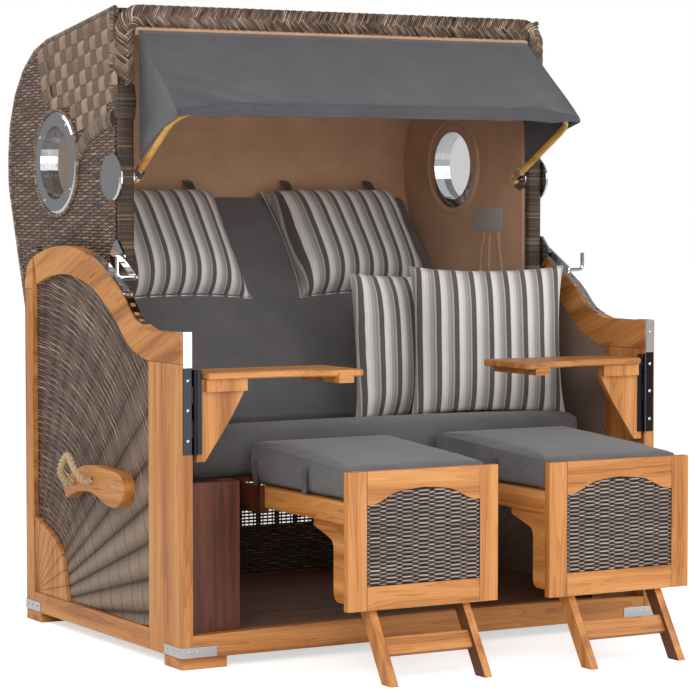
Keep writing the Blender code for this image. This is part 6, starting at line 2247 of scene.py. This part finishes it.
@dataclass
class Trays:
    """The swing-out trays with their brackets and hinges."""

    def build(self) -> None:
        """Dress the trays."""
        dress(both("tray_top"), TEAK_X)
        dress(both("tray_bracket"), TEAK_Z)
        dress(both("tray_leaf"), BLACK_STEEL)
        LOG.info("trays dressed")


@dataclass
class Footrests:
    """The pull-out footrests."""

    row: float = 0.0047
    column: float = 0.0435
    strand: tuple[float, float] = (0.0021, 0.0010)
    stile: float = 0.050
    leg: float = 0.0202

    def build(self) -> None:
        """Dress the footrests and weave their infills."""
        dress(both("footrest_infill"), SHADOW_WEAVE)
        dress(both("footrest_stool"), TEAK_Y)
        for side in Side:
            for stem, stile in (("panel", self.stile), ("legs", self.leg)):
                low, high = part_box(f"footrest_{stem}_{side.tag}")
                look = PanelTeak(f"teak_{stem}_{side.tag}", Grain.UPRIGHT, stile=stile,
                                 centre=(low.x + high.x) * 0.5, half=(high.x - low.x) * 0.5)
                dress([f"footrest_{stem}_{side.tag}"], look.build())
            self.weave(side)
        LOG.info("footrests dressed")

    def weave(self, side: Side) -> None:
        """Weave strands over the infill, one row over and the next under each stake.

        Args:
            side: The side.
        """
        name = f"footrest_infill_{side.tag}"
        low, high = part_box(name)
        middle = Vector(((low.x + high.x) * 0.5, (low.z + high.z) * 0.5))
        outline = face_outline(name, 1, low.y, middle)
        bm = bmesh.new()
        count = int((high.z - low.z - 0.004) / self.row)
        for index in range(count):
            rise = low.z + 0.003 + self.row * index
            centre = Vector((middle.x, rise))
            right = crossings(centre, Vector((1.0, 0.0)), outline)
            left = crossings(centre, Vector((-1.0, 0.0)), outline)
            if not right or not left:
                continue
            start, stop = middle.x - min(left) + 0.0012, middle.x + min(right) - 0.0012
            steps = max(6, int((stop - start) / 0.0045))
            way = 1.0 if index % 2 else -1.0
            path = []
            for step in range(steps + 1):
                x = start + (stop - start) * step / steps
                turn = math.cos(2.0 * math.pi * (x - middle.x) / self.column)
                swing = math.tanh(2.4 * (turn + 0.45))
                path.append(Vector((x, low.y - 0.0022 - 0.0013 * swing * way,
                                    rise + 0.0003 * math.sin(x * 90.0 + index * 1.7))))
            tube(bm, path, self.strand[0], self.strand[1], 6)
        # The map's first axis holds each point's depth behind the infill's face, which drives the
        # strands' painted shade.
        layer = bm.loops.layers.uv.verify()
        for face in bm.faces:
            for loop in face.loops:
                co = loop.vert.co
                loop[layer].uv = ((low.y - co.y) / 0.0044, co.x)
        piece = place_mesh(f"infill_weave_{side.tag}", bm, RATTAN, f"footrest_{side.tag}",
                           smooth=True)


@dataclass
class RopeHandles:
    """The rope loops on the sides."""

    start: float = 0.7036
    front: tuple[float, float] = (0.455, 0.408)
    rear: tuple[float, float] = (0.560, 0.396)
    stand_off: float = 0.042
    rise: float = 0.062
    strand: float = 0.0049
    core: float = 0.0046
    lay: float = 0.040

    def build(self) -> None:
        """Lay both ropes."""
        for side in Side:
            self.rope(side)

    def rope(self, side: Side) -> None:
        """Lay three strands round each other along the loop.

        Args:
            side: The side.
        """
        sign = side.value
        begin, lift = self.start, self.rise * 0.5
        middle, peak = begin + self.stand_off * 0.5, begin + self.stand_off
        keys = [at(sign * (begin + 0.0015), *self.front), at(sign * middle, *self.front),
                at(sign * peak, self.front[0] + lift * 0.3, self.front[1] + lift),
                at(sign * peak, (self.front[0] + self.rear[0]) * 0.5, self.front[1] + self.rise),
                at(sign * peak, self.rear[0] - lift * 0.3, self.rear[1] + lift),
                at(sign * middle, *self.rear), at(sign * (begin + 0.0015), *self.rear)]
        path = curve(keys, 14)
        marks = sections(path)
        bm = bmesh.new()
        for strand in range(3):
            line = []
            for point, (first, second, run) in zip(path, marks):
                angle = 2.0 * math.pi * (run / self.lay + strand / 3.0)
                way = first * math.cos(angle) + second * math.sin(angle)
                line.append(point + way * self.core)
            tube(bm, line, self.strand, self.strand, 10)
        piece = place_mesh(f"rope_loop_{side.tag}", bm, ROPE, "base", smooth=True)
        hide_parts(f"rope_{side.tag}")


@dataclass
class Studio:
    """Plain pale floor, soft lamps and the camera."""

    azimuth: float = math.radians(29.72)
    pitch: float = math.radians(3.17)
    lens: float = 139.65
    eye: Point = (-3.4578, -5.6531, 1.1076)
    lamp_aim: float = 0.8
    floor_glow: float = 0.60

    def build(self) -> None:
        """Build the studio."""
        self.camera()
        self.floor()
        self.lamps()

    def camera(self) -> None:
        """Set the camera at the photograph's viewing angle."""
        data = bpy.data.cameras.new("camera")
        data.lens = self.lens
        data.sensor_width = 36.0
        item = add("camera", data)
        item.location = at(*self.eye)
        forward = Vector((math.sin(self.azimuth) * math.cos(self.pitch),
                          math.cos(self.azimuth) * math.cos(self.pitch), -math.sin(self.pitch)))
        aim(item, forward)
        bpy.context.scene.camera = item

    def floor(self) -> None:
        """Lay the floor."""
        bm = bmesh.new()
        bmesh.ops.create_grid(bm, x_segments=1, y_segments=1, size=30.0)
        mesh = bpy.data.meshes.new("floor")
        bm.to_mesh(mesh)
        bm.free()
        item = add("floor", mesh)
        made, tree = start_material("pale_floor")
        ray = node(tree, "LightPath", out="Is Camera Ray")
        matt = node(tree, "BsdfDiffuse", linear("#f6f6f4"))
        mesh.materials.append(made)
        lit = node(tree, "Math MULTIPLY", ray, self.floor_glow)
        glow = node(tree, "Emission", linear("#ffffff"), lit)
        mixed = node(tree, "AddShader", matt, glow)
        end = tree.nodes.new("ShaderNodeOutputMaterial")
        tree.links.new(mixed, end.inputs[0])

    def lamps(self) -> None:
        """Hang the lamps and light the world."""
        world = bpy.data.worlds.new("studio")
        bpy.context.scene.world = world
        world.use_nodes = True
        tree = world.node_tree
        tree.nodes.clear()
        path = node(tree, "LightPath", out="Is Camera Ray")
        gloss = path.node.outputs["Is Glossy Ray"]
        clear = path.node.outputs["Is Transmission Ray"]
        seen = node(tree, "Math MAXIMUM", path, clear)
        strength = node(tree, "Math MULTIPLY_ADD", seen, 0.40, 0.60)
        strength = node(tree, "Math MULTIPLY_ADD", gloss, -0.33, strength)
        back = node(tree, "Background", linear("#ffffff"), strength)
        end = tree.nodes.new("ShaderNodeOutputWorld")
        tree.links.new(back, end.inputs[0])
        for name, place, size, power in (
            ("key", (-2.8, -3.6, 2.6), 2.2, 72.0),
            ("front", (0.4, -4.6, 1.1), 2.6, 48.0),
            ("fill", (3.4, -2.6, 2.2), 2.4, 35.0),
            ("back", (-3.0, 2.6, 3.2), 2.0, 40.0),
        ):
            data = bpy.data.lights.new(name, "AREA")
            data.energy = power
            data.size = size
            item = add(name, data)
            item.location = place
            aim(item, Vector((0.0, 0.0, self.lamp_aim)) - Vector(place))
        bpy.context.scene.view_settings.view_transform = "Standard"


def main() -> None:
    """Build the chair's looks."""
    logging.basicConfig(level=logging.INFO, format="%(asctime)s %(message)s")
    Studio().build()
    for part in (Base(), Hood(), Trays(), Footrests(), RopeHandles(), Pads(), Awning()):
        part.build()


if __name__ == "__main__":
    main()
